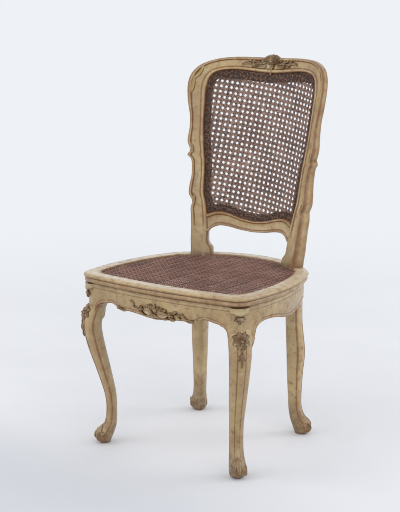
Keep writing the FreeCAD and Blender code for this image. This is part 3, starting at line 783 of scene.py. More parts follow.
front_leg = leg_skin("front_leg_shaft", front_foot, front_facing, front_leg_shares)
rear_leg = leg_skin("rear_leg_shaft", rear_foot, rear_facing, rear_leg_shares)
print("legs laid with", len(front_leg.data.vertices), "points each")

# %% [markdown]
# The foot ends in a scroll whose axis lies across the diagonal. A carver cuts it from the same piece. A
# drum is the quickest start: each of its ends is inset to a rim, a sunk ring and a raised eye.

# %% Scroll feet
scroll_radius = 0.013
scroll_height = 0.048 * rim_low
scroll_reach = 0.20 * leg_reach
scroll_overhang = 0.0015
scroll_sides = 36
scroll_dirt = 0.8
# Width and rise of each step from the rim of the scroll to its eye.
scroll_insets = [(0.0022, 0), (0.0012, -0.0018), (0.0034, 0), (0.0014, 0.0022)]


def scroll_foot(name, foot, facing, width_share):
    out = Vector((diagonal, facing * diagonal, 0))
    over = Vector((-out.y, out.x, 0))
    place = foot + out * scroll_reach + Vector((0, 0, scroll_height))
    length = leg_width * width_share + 2 * scroll_overhang
    select_only(floor)
    bpy.ops.mesh.primitive_cylinder_add(
        vertices=scroll_sides, radius=scroll_radius, depth=length, location=place,
        rotation=over.to_track_quat("Z", "Y").to_euler())
    drum = bpy.context.object
    drum.name = name
    bpy.ops.object.transform_apply(location=True, rotation=True, scale=True)
    select_faces(drum, lambda face: len(face.vertices) > 4)
    for width, rise in scroll_insets:
        bpy.ops.mesh.inset(thickness=width, depth=rise)
    bpy.ops.object.mode_set(mode="OBJECT")
    bpy.ops.object.shade_smooth_by_angle(angle=math.radians(40))
    drum.data.materials.append(lacquer)
    mark(drum, "dirt", [scroll_dirt] * len(drum.data.vertices))
    return drum


front_scroll = scroll_foot("front_scroll", front_foot, front_facing, width_share=0.66)
rear_scroll = scroll_foot("rear_scroll", rear_foot, rear_facing, width_share=0.78)
print("scroll feet turned")

# %% [markdown]
# ## The plan of the seat
# The seat is drawn with four arcs and rounded corners. Every ring of the seat frame and of the rails
# follows that plan, drawn in by its own inset. A curve could be drawn by hand; arcs worked out from a few
# sizes stay true to the CAD part.

# %% Sizes of the plan
seat_half_front = 0.246
seat_half_rear = 0.214
seat_side_bow = 0.030
seat_half_middle = (seat_half_front + seat_half_rear) / 2 + seat_side_bow
seat_rear_reach = 0.118
seat_rear_bow = 0.101
front_corner_radius = 0.040
rear_corner_radius = 0.070
least_corner_radius = 0.006
opening_corner_radius = 0.045
opening_inset = 0.034
front_steps, corner_steps, side_steps, rear_steps, back_steps = 60, 28, 72, 8, 48
print("seat is", round(2 * seat_half_middle, 3), "wide at its middle")


# %% Arcs
def circle_through(first, second, third):
    """Middle and radius of the circle through three plan points."""
    ax, ay = first
    bx, by = second
    cx, cy = third
    d = 2 * (ax * (by - cy) + bx * (cy - ay) + cx * (ay - by))
    a, b, c = ax * ax + ay * ay, bx * bx + by * by, cx * cx + cy * cy
    x = (a * (by - cy) + b * (cy - ay) + c * (ay - by)) / d
    y = (a * (cx - bx) + b * (ax - cx) + c * (bx - ax)) / d
    return Vector((x, y)), math.hypot(ax - x, ay - y)


def meeting(first, second, near):
    """The meeting point of two circles that lies nearest to a point."""
    (p, r), (q, s) = first, second
    apart = (q - p).length
    along = (r * r - s * s + apart * apart) / (2 * apart)
    off = math.sqrt(max(r * r - along * along, 0))
    unit = (q - p) / apart
    aside = Vector((-unit.y, unit.x))
    both = [p + unit * along + aside * off, p + unit * along - aside * off]
    return min(both, key=lambda point: (point - near).length)


def sweep(centre, start, stop, steps):
    """Points on an arc from start up to, but not with, stop."""
    first = math.atan2(start.y - centre.y, start.x - centre.x)
    turn = math.atan2(stop.y - centre.y, stop.x - centre.x) - first
    turn = (turn + math.pi) % (2 * math.pi) - math.pi
    radius = (start - centre).length
    angles = [first + turn * k / steps for k in range(steps)]
    return [centre + radius * Vector((math.cos(angle), math.sin(angle))) for angle in angles]


print("unit circle has radius", circle_through((1, 0), (0, 1), (-1, 0))[1])


# %% Plan of the seat
def seat_plan(inset, opening=False):
    """Plan points from the middle of the front edge round to the right, back and left."""
    front = Vector((seat_half_front, -seat_front_reach))
    rear = Vector((seat_half_rear, seat_rear_reach))
    middle = Vector((seat_half_middle, (seat_rear_reach - seat_front_reach) / 2))
    front_arc = circle_through((-front.x, front.y), (0, front.y - seat_front_bow), front)
    side_arc = circle_through(front, middle, rear)
    back_arc = circle_through(rear, (0, rear.y + seat_rear_bow), (-rear.x, rear.y))
    stops = []
    for corner, size, first, second in (
            (front, front_corner_radius, front_arc, side_arc),
            (rear, rear_corner_radius, side_arc, back_arc)):
        r = max(size - inset, least_corner_radius)
        if opening:
            r = opening_corner_radius + opening_inset - inset
        hub = meeting((first[0], first[1] - inset - r), (second[0], second[1] - inset - r), corner)
        touches = [hub + (hub - arc[0]).normalized() * r for arc in (first, second)]
        stops.append((hub, *touches))
    (hub_f, front_end, side_start), (hub_r, side_end, back_start) = stops
    crown_front = Vector((0, front.y - seat_front_bow + inset))
    crown_back = Vector((0, rear.y + seat_rear_bow - inset))
    right = (
        sweep(front_arc[0], crown_front, front_end, front_steps)
        + sweep(hub_f, front_end, side_start, corner_steps)
        + sweep(side_arc[0], side_start, side_end, side_steps)
        + sweep(hub_r, side_end, back_start, rear_steps)
        + sweep(back_arc[0], back_start, crown_back, back_steps) + [crown_back])
    left = [Vector((-p.x, p.y)) for p in right[-2:0:-1]]
    return [Vector((p.x, p.y + shift_y)) for p in right + left]


plan_steps = 2 * (front_steps + corner_steps + side_steps + rear_steps + back_steps)
front_corner = front_steps + corner_steps // 2
outer_plan = seat_plan(0)
rear_joint_x = 0.162
rear_corner = next(k for k in range(front_steps * 2, plan_steps) if outer_plan[k].x < rear_joint_x)
print("plan of the seat in", plan_steps, "points")

# %% [markdown]
# ## The seat frame
# Four lengths lie on the rails and meet at the corners. Their edge is moulded with a full upper bead, a
# quirk and a smaller lower bead, and a rebate inside takes the cane. A maker runs the moulding with a
# plane; here the section is laid along the plan.

# %% Section of the seat frame
# Inset, height under the top of the seat, painted line, dirt and painted shade (darkest along the underside
# and in the rebate), painted sheen on the top face.
rim_section = [
    (0.0150, 0.0260, 0.0, 0.9, 0.0), (0.0110, 0.0258, 0.1, 1.0, 0.0), (0.0095, 0.0240, 0.2, 1.0, 0.0),
    (0.0085, 0.0226, 0.5, 1.0, 0.0), (0.0060, 0.0219, 0.6, 0.5, 0.0), (0.0038, 0.0205, 0.6, 0.1, 0.0),
    (0.0030, 0.0180, 0.5, 0.0, 0.0), (0.0030, 0.0150, 0.4, 0.0, 0.0), (0.0038, 0.0128, 0.5, 0.1, 0.0),
    (0.0050, 0.0114, 0.6, 0.3, 0.0), (0.0054, 0.0106, 0.8, 0.5, 0.0), (0.0036, 0.0098, 0.6, 0.2, 0.0),
    (0.0014, 0.0086, 0.3, 0.1, 0.0), (0.0002, 0.0066, 0.2, 0.0, 0.0), (0.0000, 0.0052, 0.2, 0.0, 0.0),
    (0.0008, 0.0034, 0.1, 0.0, 0.0), (0.0026, 0.0016, 0.1, 0.0, 0.2), (0.0056, 0.0004, 0.1, 0.0, 0.5),
    (0.0095, 0.0000, 0.0, 0.0, 0.8), (0.0220, 0.0000, 0.0, 0.0, 0.9), (0.0300, 0.0001, 0.0, 0.0, 0.7),
    (0.0345, 0.0008, 0.4, 0.1, 0.2), (0.0360, 0.0028, 0.6, 0.4, 0.0), (0.0360, 0.0076, 0.3, 0.9, 0.0),
    (0.0510, 0.0078, 0.0, 1.0, 0.0), (0.0510, 0.0258, 0.0, 0.6, 0.0), (0.0380, 0.0260, 0.0, 0.4, 0.0),
]
rim_plans = [seat_plan(row[0], row[0] > opening_inset) for row in rim_section]
print("section of", len(rim_section), "points")


# %% Seat frame in four lengths
def rim_length(name, first, last):
    """One length of the seat frame between two places on the plan."""
    rings = []
    for k in range(first, last + 1):
        rings.append([
            Vector((*plan[k % plan_steps], seat_height - row[1]))
            for plan, row in zip(rim_plans, rim_section)])
    return lay_skin(name, rings, lacquer, section_marks(rim_section, len(rings), line=2, dirt=3, pale=4))


for side_name, first, last in (
        ("front", -front_corner, front_corner), ("right", front_corner, rear_corner),
        ("back", rear_corner, plan_steps - rear_corner),
        ("left", plan_steps - rear_corner, plan_steps - front_corner)):
    length = rim_length("seat_frame_" + side_name + "_moulding", first, last)
    hand_in(length, "lacquered_wood", "seat_frame_" + side_name)

# %% [markdown]
# ## The rails
# Under the frame four rails run between the legs. The lower edges of the front and side rails are sawn to
# a wave. All four have a small bead there, and a line is cut near the top. A flat board could be cut and
# bent; laying the section along the plan gives bow, wave and bead in one step.

# %% Waves of the rails
apron_inset = 0.012
apron_depth = 0.058
rear_apron_depth = 0.042
leg_stile = 0.046
stile_x = seat_half_front - apron_inset - leg_stile
stile_y = seat_front_reach - apron_inset - leg_stile
side_run = stile_y + seat_rear_reach
front_apron_shares = [
    (0.0, 1.0), (0.16, 0.96), (0.31, 0.90), (0.44, 0.87), (0.54, 0.90), (0.615, 0.89),
    (0.68, 0.77), (0.755, 0.68), (0.83, 0.71), (0.91, 0.765), (0.97, 0.80), (1.0, 0.85),
]
side_apron_shares = [
    (0.0, 1.42), (0.01, 1.24), (0.025, 1.0), (0.071, 0.83), (0.141, 0.755), (0.218, 0.755),
    (0.30, 0.80), (0.36, 0.86), (0.43, 0.94), (0.50, 0.985),
    (0.60, 1.01), (0.73, 0.94), (0.85, 0.81), (1.0, 0.73), (1.2, 0.68),
]
front_ear_shares = [(0.0, 0.85), (0.155, 0.925), (0.336, 1.13), (0.41, 1.41), (0.47, 1.75)]
side_ear_shares = [(0.0, 1.42), (0.04, 1.58), (0.10, 1.75)]
wave_steps = 8
front_wave = smooth_rows(front_apron_shares, wave_steps)
side_wave = smooth_rows(side_apron_shares, wave_steps)
front_ear_wave = smooth_rows(front_ear_shares, wave_steps)
side_ear_wave = smooth_rows(side_ear_shares, wave_steps)
print("front rail runs", round(2 * stile_x, 3), "between the legs")

# %% Section of the rails
# Inset, share of the depth, height in metres, painted line, dirt and painted shade; the broad outer face is
# darkened a little as painted shade.
rail_section = [
    (0.0120, 0.0, 0.0000, 0.0, 0.5), (0.0122, 0.0, -0.0060, 0.0, 0.0), (0.0122, 0.0, -0.0090, 0.2, 0.2),
    (0.0130, 0.0, -0.0100, 0.8, 0.8), (0.0122, 0.0, -0.0110, 0.2, 0.2), (0.0121, 0.0, -0.0122, 0.0, 0.15),
    (0.0121, 0.0, -0.0150, 0.0, 0.2), (0.0121, 0.5, 0.0, 0.0, 0.2),
    (0.0124, 1.0, 0.0095, 0.0, 0.2), (0.0134, 1.0, 0.0078, 0.7, 0.6), (0.0130, 1.0, 0.0060, 0.4, 0.2),
    (0.0121, 1.0, 0.0042, 0.1, 0.0), (0.0124, 1.0, 0.0018, 0.8, 0.3), (0.0140, 1.0, 0.0002, 1.0, 0.7),
    (0.0180, 1.0, 0.0000, 0.4, 0.2), (0.0360, 1.0, 0.0000, 0.0, 0.0), (0.0380, 1.0, 0.0020, 0.0, 0.0),
    (0.0380, 0.0, 0.0000, 0.0, 0.0),
]
rail_plans = [seat_plan(row[0]) for row in rail_section]
rail_guide = seat_plan(apron_inset)
print("section of", len(rail_section), "points")


# %% A rail along the plan
def depth_from(table, share):
    """Depth of a rail at a share of its length, from its smooth table."""
    for first, second in zip(table, table[1:]):
        if first[0] <= share <= second[0]:
            return between(first[1], second[1], (share - first[0]) / (second[0] - first[0]))
    return table[0][1] if share < table[0][0] else table[-1][1]


def rail(name, places, depth_at):
    """A rail along places of the plan, each with its own depth."""
    rings = []
    for k in places:
        guide = rail_guide[k % plan_steps]
        depth = depth_at(guide)
        rings.append([
            Vector((*plan[k % plan_steps], rim_low - row[1] * depth + row[2]))
            for plan, row in zip(rail_plans, rail_section)])
    return lay_skin(name, rings, lacquer, section_marks(rail_section, len(rings), line=3, dirt=4))


def front_depth(guide):
    return apron_depth * depth_from(front_wave, abs(guide.x) / stile_x)


def side_depth(guide):
    return apron_depth * depth_from(side_wave, (guide.y - shift_y + stile_y) / side_run)


def corner_depth(guide):
    from_front = (guide.x - stile_x) / leg_stile
    from_side = (shift_y - stile_y - guide.y) / leg_stile
    if from_front < from_side:
        return apron_depth * depth_from(front_ear_wave, from_front)
    return apron_depth * depth_from(side_ear_wave, from_side)


def rear_depth(guide):
    return rear_apron_depth


print("front rail is", round(front_depth(rail_guide[0]), 4), "deep at its middle")

# %% Rails laid
rail_end = 0.178
rear_rail_half = 0.118
front_end = max(k for k in range(front_steps + corner_steps) if rail_guide[k].x <= stile_x)
side_start = min(k for k in range(front_end, rear_corner) if rail_guide[k].y - shift_y >= -stile_y)
side_end = max(k for k in range(front_end, plan_steps // 2) if rail_guide[k].x >= rail_end)
back_start = min(k for k in range(side_end, plan_steps) if rail_guide[k].x <= rear_rail_half)
front_places = range(-front_end, front_end + 1)
side_places = range(side_start, side_end + 1)
rail_front = rail("front_apron", front_places, front_depth)
rail_right = rail("right_apron", side_places, side_depth)
rail_left = mirror_copy(rail_right, "left_apron")
rail_rear = rail("rear_apron", range(back_start, plan_steps - back_start + 1), rear_depth)
hand_in(rail_right, "lacquered_wood", "right_seat_rail")
hand_in(rail_left, "lacquered_wood", "left_seat_rail")
hand_in(rail_rear, "lacquered_wood", "rear_seat_rail")

# %% [markdown]
# The head of a front leg fills the rounded corner between the rails. Its lower edge runs down from both
# rails to the leg as two ears, so that the curve of the leg flows into the rails. The same call as for
# the rails makes it, with a depth of its own.

# %% Heads of the front legs
stile = rail("front_leg_head", range(front_end, side_start + 1), corner_depth)
print("head of the leg has", len(stile.data.vertices), "points")

# %% [markdown]
# ## Carving
# A carver cuts leaves, petals and round buds from the solid, then the painter darkens them. One leaf and
# one bud are modelled, and each copy is bent onto the surface it belongs to.

# %% One leaf and one bud
# Place along the leaf, half width and height.
leaf_rows = [
    (0.00, 0.06, 0.2), (0.10, 0.30, 0.6), (0.32, 0.50, 0.9), (0.58, 0.46, 1.0), (0.80, 0.28, 0.8),
    (0.94, 0.12, 0.5), (1.00, 0.02, 0.2),
]
# Place across the leaf, height and darkening.
leaf_section = [
    (-1.0, 0.0, 1.0), (-0.55, 0.85, 0.4), (0.0, 0.55, 0.9), (0.55, 0.85, 0.4), (1.0, 0.0, 1.0),
    (0.0, -0.4, 1.0),
]
leaf_rings = [[Vector((t, half * a, high * h)) for a, h, _ in leaf_section] for t, half, high in leaf_rows]
leaf_dirt = section_marks(leaf_section, len(leaf_rows), dirt=2)
leaf_master = lay_skin("leaf_master", leaf_rings, lacquer, leaf_dirt, sharp_degrees=60)
select_only(floor)
bpy.ops.mesh.primitive_uv_sphere_add(segments=12, ring_count=8, radius=1)
bud_master = bpy.context.object
bud_master.name = "bud_master"
bpy.ops.object.shade_smooth()
bud_master.data.materials.append(lacquer)
bud_dirt, bud_rubbing = 0.9, 0.5
mark(bud_master, "dirt", [bud_dirt - bud_rubbing * max(v.co.z, 0) for v in bud_master.data.vertices])
print("leaf has", len(leaf_master.data.vertices), "points, bud has", len(bud_master.data.vertices))

# %% [markdown]
# A copy of the leaf is laid between two places on a surface and swung a little to one side. A function for
# each surface says where a flat place lies on the wood and how far it is lifted, so the same leaf fits the
# knee, the rail and the crest.


# %% Copies on a surface
def copy_of(master):
    select_only(master)
    bpy.ops.object.duplicate(linked=False)
    return bpy.context.object


def move_points(piece, place_for):
    flat = []
    for vertex in piece.data.vertices:
        flat.extend(place_for(vertex.co))
    piece.data.vertices.foreach_set("co", flat)
    piece.data.update()
    return piece


def repaint(piece, name, value):
    layer = piece.data.attributes[name]
    layer.data.foreach_set("value", [value] * len(layer.data))


def darken(pieces, share):
    """More dirt on carved pieces, by a share of what is still clean."""
    for piece in pieces:
        layer = piece.data.attributes["dirt"]
        layer.data.foreach_set("value", [point.value + (1 - point.value) * share for point in layer.data])


print("copies can be moved and darkened")

# %% Leaves, buds and flowers
heart_share = 1.1


def leaf(surface, start, stop, width, height, bend=0.0):
    """A leaf from one flat place to another on a surface, swung to one side by bend."""
    start, stop = Vector(start), Vector(stop)
    run = stop - start
    side = Vector((-run.y, run.x)).normalized()

    def place_for(p):
        flat = start + run * p.x + side * (p.y * width + bend * math.sin(math.pi * p.x))
        return surface(flat.x, flat.y, p.z * height)

    return move_points(copy_of(leaf_master), place_for)


def bud(surface, centre, half_wide, half_high, height):
    """A round bud on a surface."""
    return move_points(copy_of(bud_master), lambda p: surface(
        centre[0] + p.x * half_wide, centre[1] + p.y * half_high, p.z * height))


def leaves(surface, rows, side=1):
    """Leaves from rows of start, stop, width, height and bend, on one side of the middle."""
    made = []
    for start_x, start_z, stop_x, stop_z, width, height, bend in rows:
        start, stop = (side * start_x, start_z), (side * stop_x, stop_z)
        made.append(leaf(surface, start, stop, width, height, side * bend))
    return made


def paired_leaves(surface, rows):
    return leaves(surface, rows, -1) + leaves(surface, rows, 1)


def flower(surface, centre, inner, outer, petals, width, height, start_turn=0.0):
    """Petals round a bud."""
    made = [bud(surface, centre, inner, inner, height * heart_share)]
    for k in range(petals):
        turn = start_turn + 2 * math.pi * k / petals
        way = Vector((math.cos(turn), math.sin(turn)))
        middle = Vector(centre)
        made.append(leaf(surface, middle + way * inner / 2, middle + way * outer, width, height))
    return made


print("leaves and flowers can be laid")

# %% [markdown]
# ## Carving on the front legs
# Each knee has a flower with a small drop under it, each foot has one leaf with two more on each side, and
# a pointed label with a tassel sits on the corner above. They follow the round of the leg and the corner.

# %% Places on the leg and its corner
leg_lookup = smooth_rows(front_leg_shares, leg_steps)


def on_knee(across_leg, z, lift):
    """A place on the outer face of the right front leg."""
    share = z / rim_low
    first, second = next((a, b) for a, b in zip(leg_lookup, leg_lookup[1:]) if a[0] <= share <= b[0])
    part = (share - first[0]) / (second[0] - first[0])
    row = [between(a, b, part) for a, b in zip(first, second)]
    out, over, middle, half_out, half_over = leg_frame(front_foot, front_facing, row)
    return middle + out * (half_out * flank(across_leg / half_over) + lift) + over * across_leg


corner_points = [rail_guide[front_steps + k] for k in (2, corner_steps // 2, corner_steps - 2)]
corner_hub, corner_radius = circle_through(*corner_points)
corner_turn = math.atan2(corner_points[1].y - corner_hub.y, corner_points[1].x - corner_hub.x)


def on_corner(across_corner, drop, lift):
    """A place on the rounded corner above a front leg, drop under the seat frame."""
    turn = corner_turn + across_corner / corner_radius
    reach = corner_radius + lift
    place = corner_hub + reach * Vector((math.cos(turn), math.sin(turn)))
    return Vector((*place, rim_low - drop))


print("corner radius", round(corner_radius, 4))

# %% Knees and feet
knee_flower = (0.0, 0.352)
knee_drop = [
    (0, 0.338, 0, 0.318, 0.008, 0.005, 0), (0, 0.324, 0, 0.302, 0.015, 0.007, 0),
    (0, 0.304, 0, 0.286, 0.006, 0.005, 0),
]
knee_pairs = [
    (0.010, 0.345, 0.0205, 0.340, 0.011, 0.005, 0.003), (0.010, 0.356, 0.0215, 0.360, 0.012, 0.005, 0.002),
    (0.002, 0.320, 0.0100, 0.305, 0.009, 0.006, -0.003),
]
toe_leaf = [(0, 0.050, 0, 0.012, 0.018, 0.0045, 0)]
toe_pairs = [
    (0.006, 0.046, 0.013, 0.013, 0.013, 0.004, 0.002), (0.011, 0.036, 0.019, 0.018, 0.010, 0.004, 0.002),
]
knee_darkness = 0.65
knee = flower(
    on_knee, knee_flower, inner=0.0065, outer=0.0215, petals=8, width=0.0175, height=0.007, start_turn=0.3)
knee += flower(on_knee, knee_flower, inner=0.0048, outer=0.0130, petals=6, width=0.0115, height=0.0105)
knee += leaves(on_knee, knee_drop) + paired_leaves(on_knee, knee_pairs)
darken(knee, knee_darkness)
toes = leaves(on_knee, toe_leaf) + paired_leaves(on_knee, toe_pairs)
print("knee of", len(knee), "cuts and foot of", len(toes))

# %% Tassel and label
tassel_leaf = [(0, 0.0260, 0, 0.0395, 0.014, 0.007, 0)]
tassel_pair = [(0.003, 0.0255, 0.0130, 0.0315, 0.010, 0.007, -0.002)]
tassel_darkness = 0.6
tassel = [bud(on_corner, (0, 0.0265), half_wide=0.0085, half_high=0.0065, height=0.0080)]
tassel += leaves(on_corner, tassel_leaf) + paired_leaves(on_corner, tassel_pair)
darken(tassel, tassel_darkness)
label_half = 0.027
label_steps = 16
label_end_height, label_point = 0.0115, 0.0085
label_proud, label_end_proud = 0.0078, 0.0005
label_top, label_root, label_edge = 0.0002, -0.004, 0.0012
label_point_power, label_flat_share = 0.8, 0.7
label_soft_share, label_under_share = 0.9, 0.6
# Painted line and dirt, from the root at the top round to the root at the bottom; the dark underside is a
# painted shadow.
label_section = [(0, 0.4), (0, 0.3), (0, 0.0), (0.5, 0.3), (0.6, 1.0), (0, 1.0)]
label_rings = []
for k in range(label_steps + 1):
    share = 2 * k / label_steps - 1
    place = label_half * share
    fall = label_end_height + label_point * (1 - abs(share)) ** label_point_power
    proud = label_end_proud + label_proud * (1 - share ** 4)
    label_rings.append([
        on_corner(place, label_top, label_root), on_corner(place, label_top, proud),
        on_corner(place, fall * label_flat_share, proud),
        on_corner(place, fall - label_edge, proud * label_soft_share),
        on_corner(place, fall, proud * label_under_share), on_corner(place, fall, label_root)])
label_marks = section_marks(label_section, len(label_rings), line=0, dirt=1)
label = lay_skin("leg_label", label_rings, lacquer, label_marks, sharp_degrees=50)
print("label laid in", len(label_rings), "rings")

# %% Front legs handed in
front_right = join("front_right_leg_carved", front_leg, front_scroll, stile, label, *knee, *toes, *tassel)
front_left = mirror_copy(front_right, "front_left_leg_carved")
hand_in(front_right, "lacquered_wood", "front_right_leg")
hand_in(front_left, "lacquered_wood", "front_left_leg")

# %% [markdown]
# ## Carving on the front rail
# The front rail carries a spray of leaves and flowers along its belly, and a small scroll at each end of
# the belly. The spray isn't the same on both sides, so each leaf has its own row.

# %% Carving on the front rail
bow_steps = 40
front_hub, front_radius = circle_through(*[rail_guide[k] for k in (-bow_steps, 0, bow_steps)])


def on_front_rail(x, drop, lift):
    """A place on the front rail, drop under the seat frame."""
    reach = front_radius + lift
    return Vector((x, front_hub.y - math.sqrt(reach ** 2 - x ** 2), rim_low - drop))


# Start, stop, width, height and bend of each leaf, then place, half sizes and height of each bud.
spray_leaves = [
    (-0.064, 0.034, -0.078, 0.020, 0.009, 0.006, 0.002),
    (-0.050, 0.037, -0.070, 0.032, 0.007, 0.005, -0.002),
    (-0.033, 0.033, -0.019, 0.025, 0.009, 0.006, 0.002),
    (-0.035, 0.036, -0.001, 0.048, 0.024, 0.009, -0.003),
    (-0.004, 0.037, -0.010, 0.020, 0.009, 0.006, 0), (0.000, 0.037, 0.001, 0.018, 0.012, 0.008, 0),
    (0.004, 0.037, 0.014, 0.022, 0.009, 0.006, 0), (0.006, 0.036, 0.046, 0.041, 0.023, 0.009, 0.004),
    (-0.016, 0.036, -0.022, 0.022, 0.010, 0.006, 0), (-0.012, 0.036, -0.015, 0.019, 0.010, 0.006, 0),
    (0.010, 0.035, 0.026, 0.025, 0.011, 0.007, 0), (0.020, 0.035, 0.038, 0.029, 0.011, 0.007, 0),
    (0.030, 0.043, 0.034, 0.055, 0.013, 0.008, 0), (0.044, 0.046, 0.064, 0.050, 0.011, 0.007, 0.003),
    (0.062, 0.037, 0.078, 0.047, 0.011, 0.006, 0), (-0.044, 0.043, -0.026, 0.050, 0.011, 0.007, 0.002),
    (0.052, 0.036, 0.068, 0.029, 0.009, 0.006, 0), (0.058, 0.040, 0.084, 0.031, 0.008, 0.006, 0.003),
    (0.078, 0.031, 0.096, 0.044, 0.010, 0.006, 0.003), (0.014, 0.050, 0.047, 0.052, 0.009, 0.006, -0.002),
    (-0.024, 0.047, 0.008, 0.055, 0.009, 0.006, -0.002), (-0.006, 0.044, 0.024, 0.048, 0.010, 0.007, 0.003),
    (-0.090, 0.049, -0.113, 0.043, 0.008, 0.005, -0.003), (0.094, 0.049, 0.117, 0.043, 0.008, 0.005, 0.003),
]
spray_buds = [
    (0.003, 0.0345, 0.0065, 0.006, 0.009), (-0.117, 0.0455, 0.0052, 0.0048, 0.005),
    (0.121, 0.0455, 0.0052, 0.0048, 0.005),
]
spray = leaves(on_front_rail, spray_leaves)
for x, drop, half_wide, half_high, height in spray_buds:
    spray.append(bud(on_front_rail, (x, drop), half_wide, half_high, height))
for centre in ((-0.042, 0.0365), (0.0485, 0.0415)):
    spray += flower(on_front_rail, centre, inner=0.0035, outer=0.0095, petals=6, width=0.007, height=0.007)
rail_front = join("front_apron", rail_front, *spray)
hand_in(rail_front, "lacquered_wood", "front_seat_rail")

# %% [markdown]
# ## Stay rail
# A waisted stay ties the uprights above the seat. It has the moulding of the back on its upper and lower
# edges, and its ends swell so that it runs into the uprights with a round corner.

# %% Stay rail
stay_shares = [
    (0.0, 0.18, 0.126), (0.19, 0.19, 0.132), (0.335, 0.207, 0.142), (0.45, 0.216, 0.146),
    (0.52, 0.2155, 0.139), (0.565, 0.212, 0.128), (0.60, 0.207, 0.113), (0.66, 0.20, 0.109),
]
stay_thickness = 0.024
# Share of the height from the top, depth in metres, depth in thicknesses, painted line, darkening.
stay_section = [
    (0.00, 0.0035, 0.0, 0.8, 0.8), (0.03, 0.0008, 0.0, 1.0, 0.4), (0.09, 0.0, 0.0, 0.2, 0.0),
    (0.16, 0.0006, 0.0, 0.4, 0.4), (0.21, 0.0020, 0.0, 0.9, 1.0), (0.27, 0.0028, 0.0, 0.0, 0.1),
    (0.50, 0.0031, 0.0, 0.0, 0.0), (0.73, 0.0028, 0.0, 0.0, 0.1), (0.79, 0.0020, 0.0, 0.9, 1.0),
    (0.84, 0.0006, 0.0, 0.4, 0.4), (0.91, 0.0, 0.0, 0.2, 0.0), (0.97, 0.0008, 0.0, 1.0, 0.3),
    (1.00, 0.0035, 0.0, 0.8, 0.5), (1.00, 0.0, 0.8, 0.0, 0.0), (0.90, 0.0, 1.0, 0.0, 0.0),
    (0.10, 0.0, 1.0, 0.0, 0.0), (0.00, 0.0, 0.8, 0.0, 0.0),
]


def both_ways(rows):
    """Rows from the middle to the right, carried on to the left side as well."""
    return [(-row[0], *row[1:]) for row in rows[:0:-1]] + list(rows)


stay_rows = both_ways(smooth_rows(stay_shares, wave_steps))
stay_rings = []
for x, high, low in stay_rows:
    top, foot = on_back(x, high), on_back(x, low)
    stay_rings.append([
        behind(between(top, foot, row[0]), row[1] + row[2] * stay_thickness) for row in stay_section])
stay_marks = section_marks(stay_section, len(stay_rings), line=3, dirt=4)
stay = lay_skin("stay_moulding", stay_rings, lacquer, stay_marks)
print("stay laid in", len(stay_rings), "rings")

# %% [markdown]
# ## Ledges behind the cane
# Behind the cane a ledge runs round the opening and holds its edge; its dark colour is painted shade. Each
# length of it belongs to the upright, the crest or the stay that it is cut from, so it is laid along the
# inner line of the frame.

# %% Ledges
post_ledge_width = 0.015
crest_ledge_width = 0.025
stay_ledge_width = 0.018
ledge_near = 0.0066
ledge_far = 0.0156
stay_row = 4
stay_step = stay_row * steps_per_row
ledge_smoothing = 3


def ledge_ring(place, within):
    front = [behind(place, ledge_near), behind(within, ledge_near)]
    return front + [behind(within, ledge_far), behind(place, ledge_far)]


inner_line = [on_back(row[2], row[3]) for row in frame_rows]
ledge_line = []
ledge_rings = []
for k in range(stay_step, len(inner_line)):
    before = inner_line[max(k - ledge_smoothing, 0)]
    after = inner_line[min(k + ledge_smoothing, len(inner_line) - 1)]
    run = (after - before).normalized()
    toward = Vector((-run.z, 0, run.x)) if k < len(inner_line) - 1 else Vector((0, 0, -1))
    width = between(post_ledge_width, crest_ledge_width, abs(toward.z) ** 2)
    ledge_line.append(inner_line[k] + toward * width)
    ledge_rings.append(ledge_ring(inner_line[k], ledge_line[-1]))
post_ledge = lay_skin("right_ledge", ledge_rings[:joint_step - stay_step + 1], ledge_shade_wood)
crest_ledge_half = ledge_rings[joint_step - stay_step:]
crest_ledge = lay_skin(
    "crest_ledge", crest_ledge_half + [other_side(ring) for ring in crest_ledge_half[-2::-1]], ledge_shade_wood)
stay_rise = Vector((0, 0, stay_ledge_width))
stay_top = [on_back(x, high) for x, high, low in stay_rows]
stay_ledge = lay_skin("stay_ledge", [ledge_ring(place, place + stay_rise) for place in stay_top], ledge_shade_wood)
print("ledges laid in", len(ledge_rings), "rings on each side")

# %% [markdown]
# ## Carving on the back
# At the middle of the crest a shell stands up above the moulding, with a spray of leaves on each side and
# a small drop under it. Two worn gilt leaves lie on each shoulder, and a leaf covers each scroll break of
# the uprights. The same leaf and bud are used, laid on the bowed face.

# %% Shell and sprays
hollow_depth = 0.003
shell_foot = (0, 0.9650)
shell_middle_z = 0.9680
shell_half_wide, shell_half_high = 0.0275, 0.0192
shell_leaves = 7
shell_first_degrees, shell_step_degrees = 6, 28
crest_drop = [(0, 0.966, 0, 0.944, 0.017, 0.0075, 0), (0, 0.946, 0, 0.932, 0.010, 0.0065, 0)]
crest_pairs = [
    (0.020, 0.963, 0.037, 0.976, 0.010, 0.006, 0.002), (0.016, 0.957, 0.046, 0.957, 0.013, 0.007, -0.003),
    (0.030, 0.960, 0.052, 0.968, 0.010, 0.006, 0.003), (0.042, 0.961, 0.066, 0.964, 0.010, 0.006, -0.002),
    (0.060, 0.963, 0.088, 0.960, 0.009, 0.006, 0.003), (0.048, 0.966, 0.060, 0.977, 0.008, 0.005, 0.001),
    (0.060, 0.966, 0.071, 0.976, 0.008, 0.005, 0.001), (0.040, 0.958, 0.060, 0.952, 0.008, 0.005, 0.002),
]


def on_frame(x, z, lift):
    """A place on the face of the back frame."""
    return behind(Vector((x, 0, z)), hollow_depth - lift)


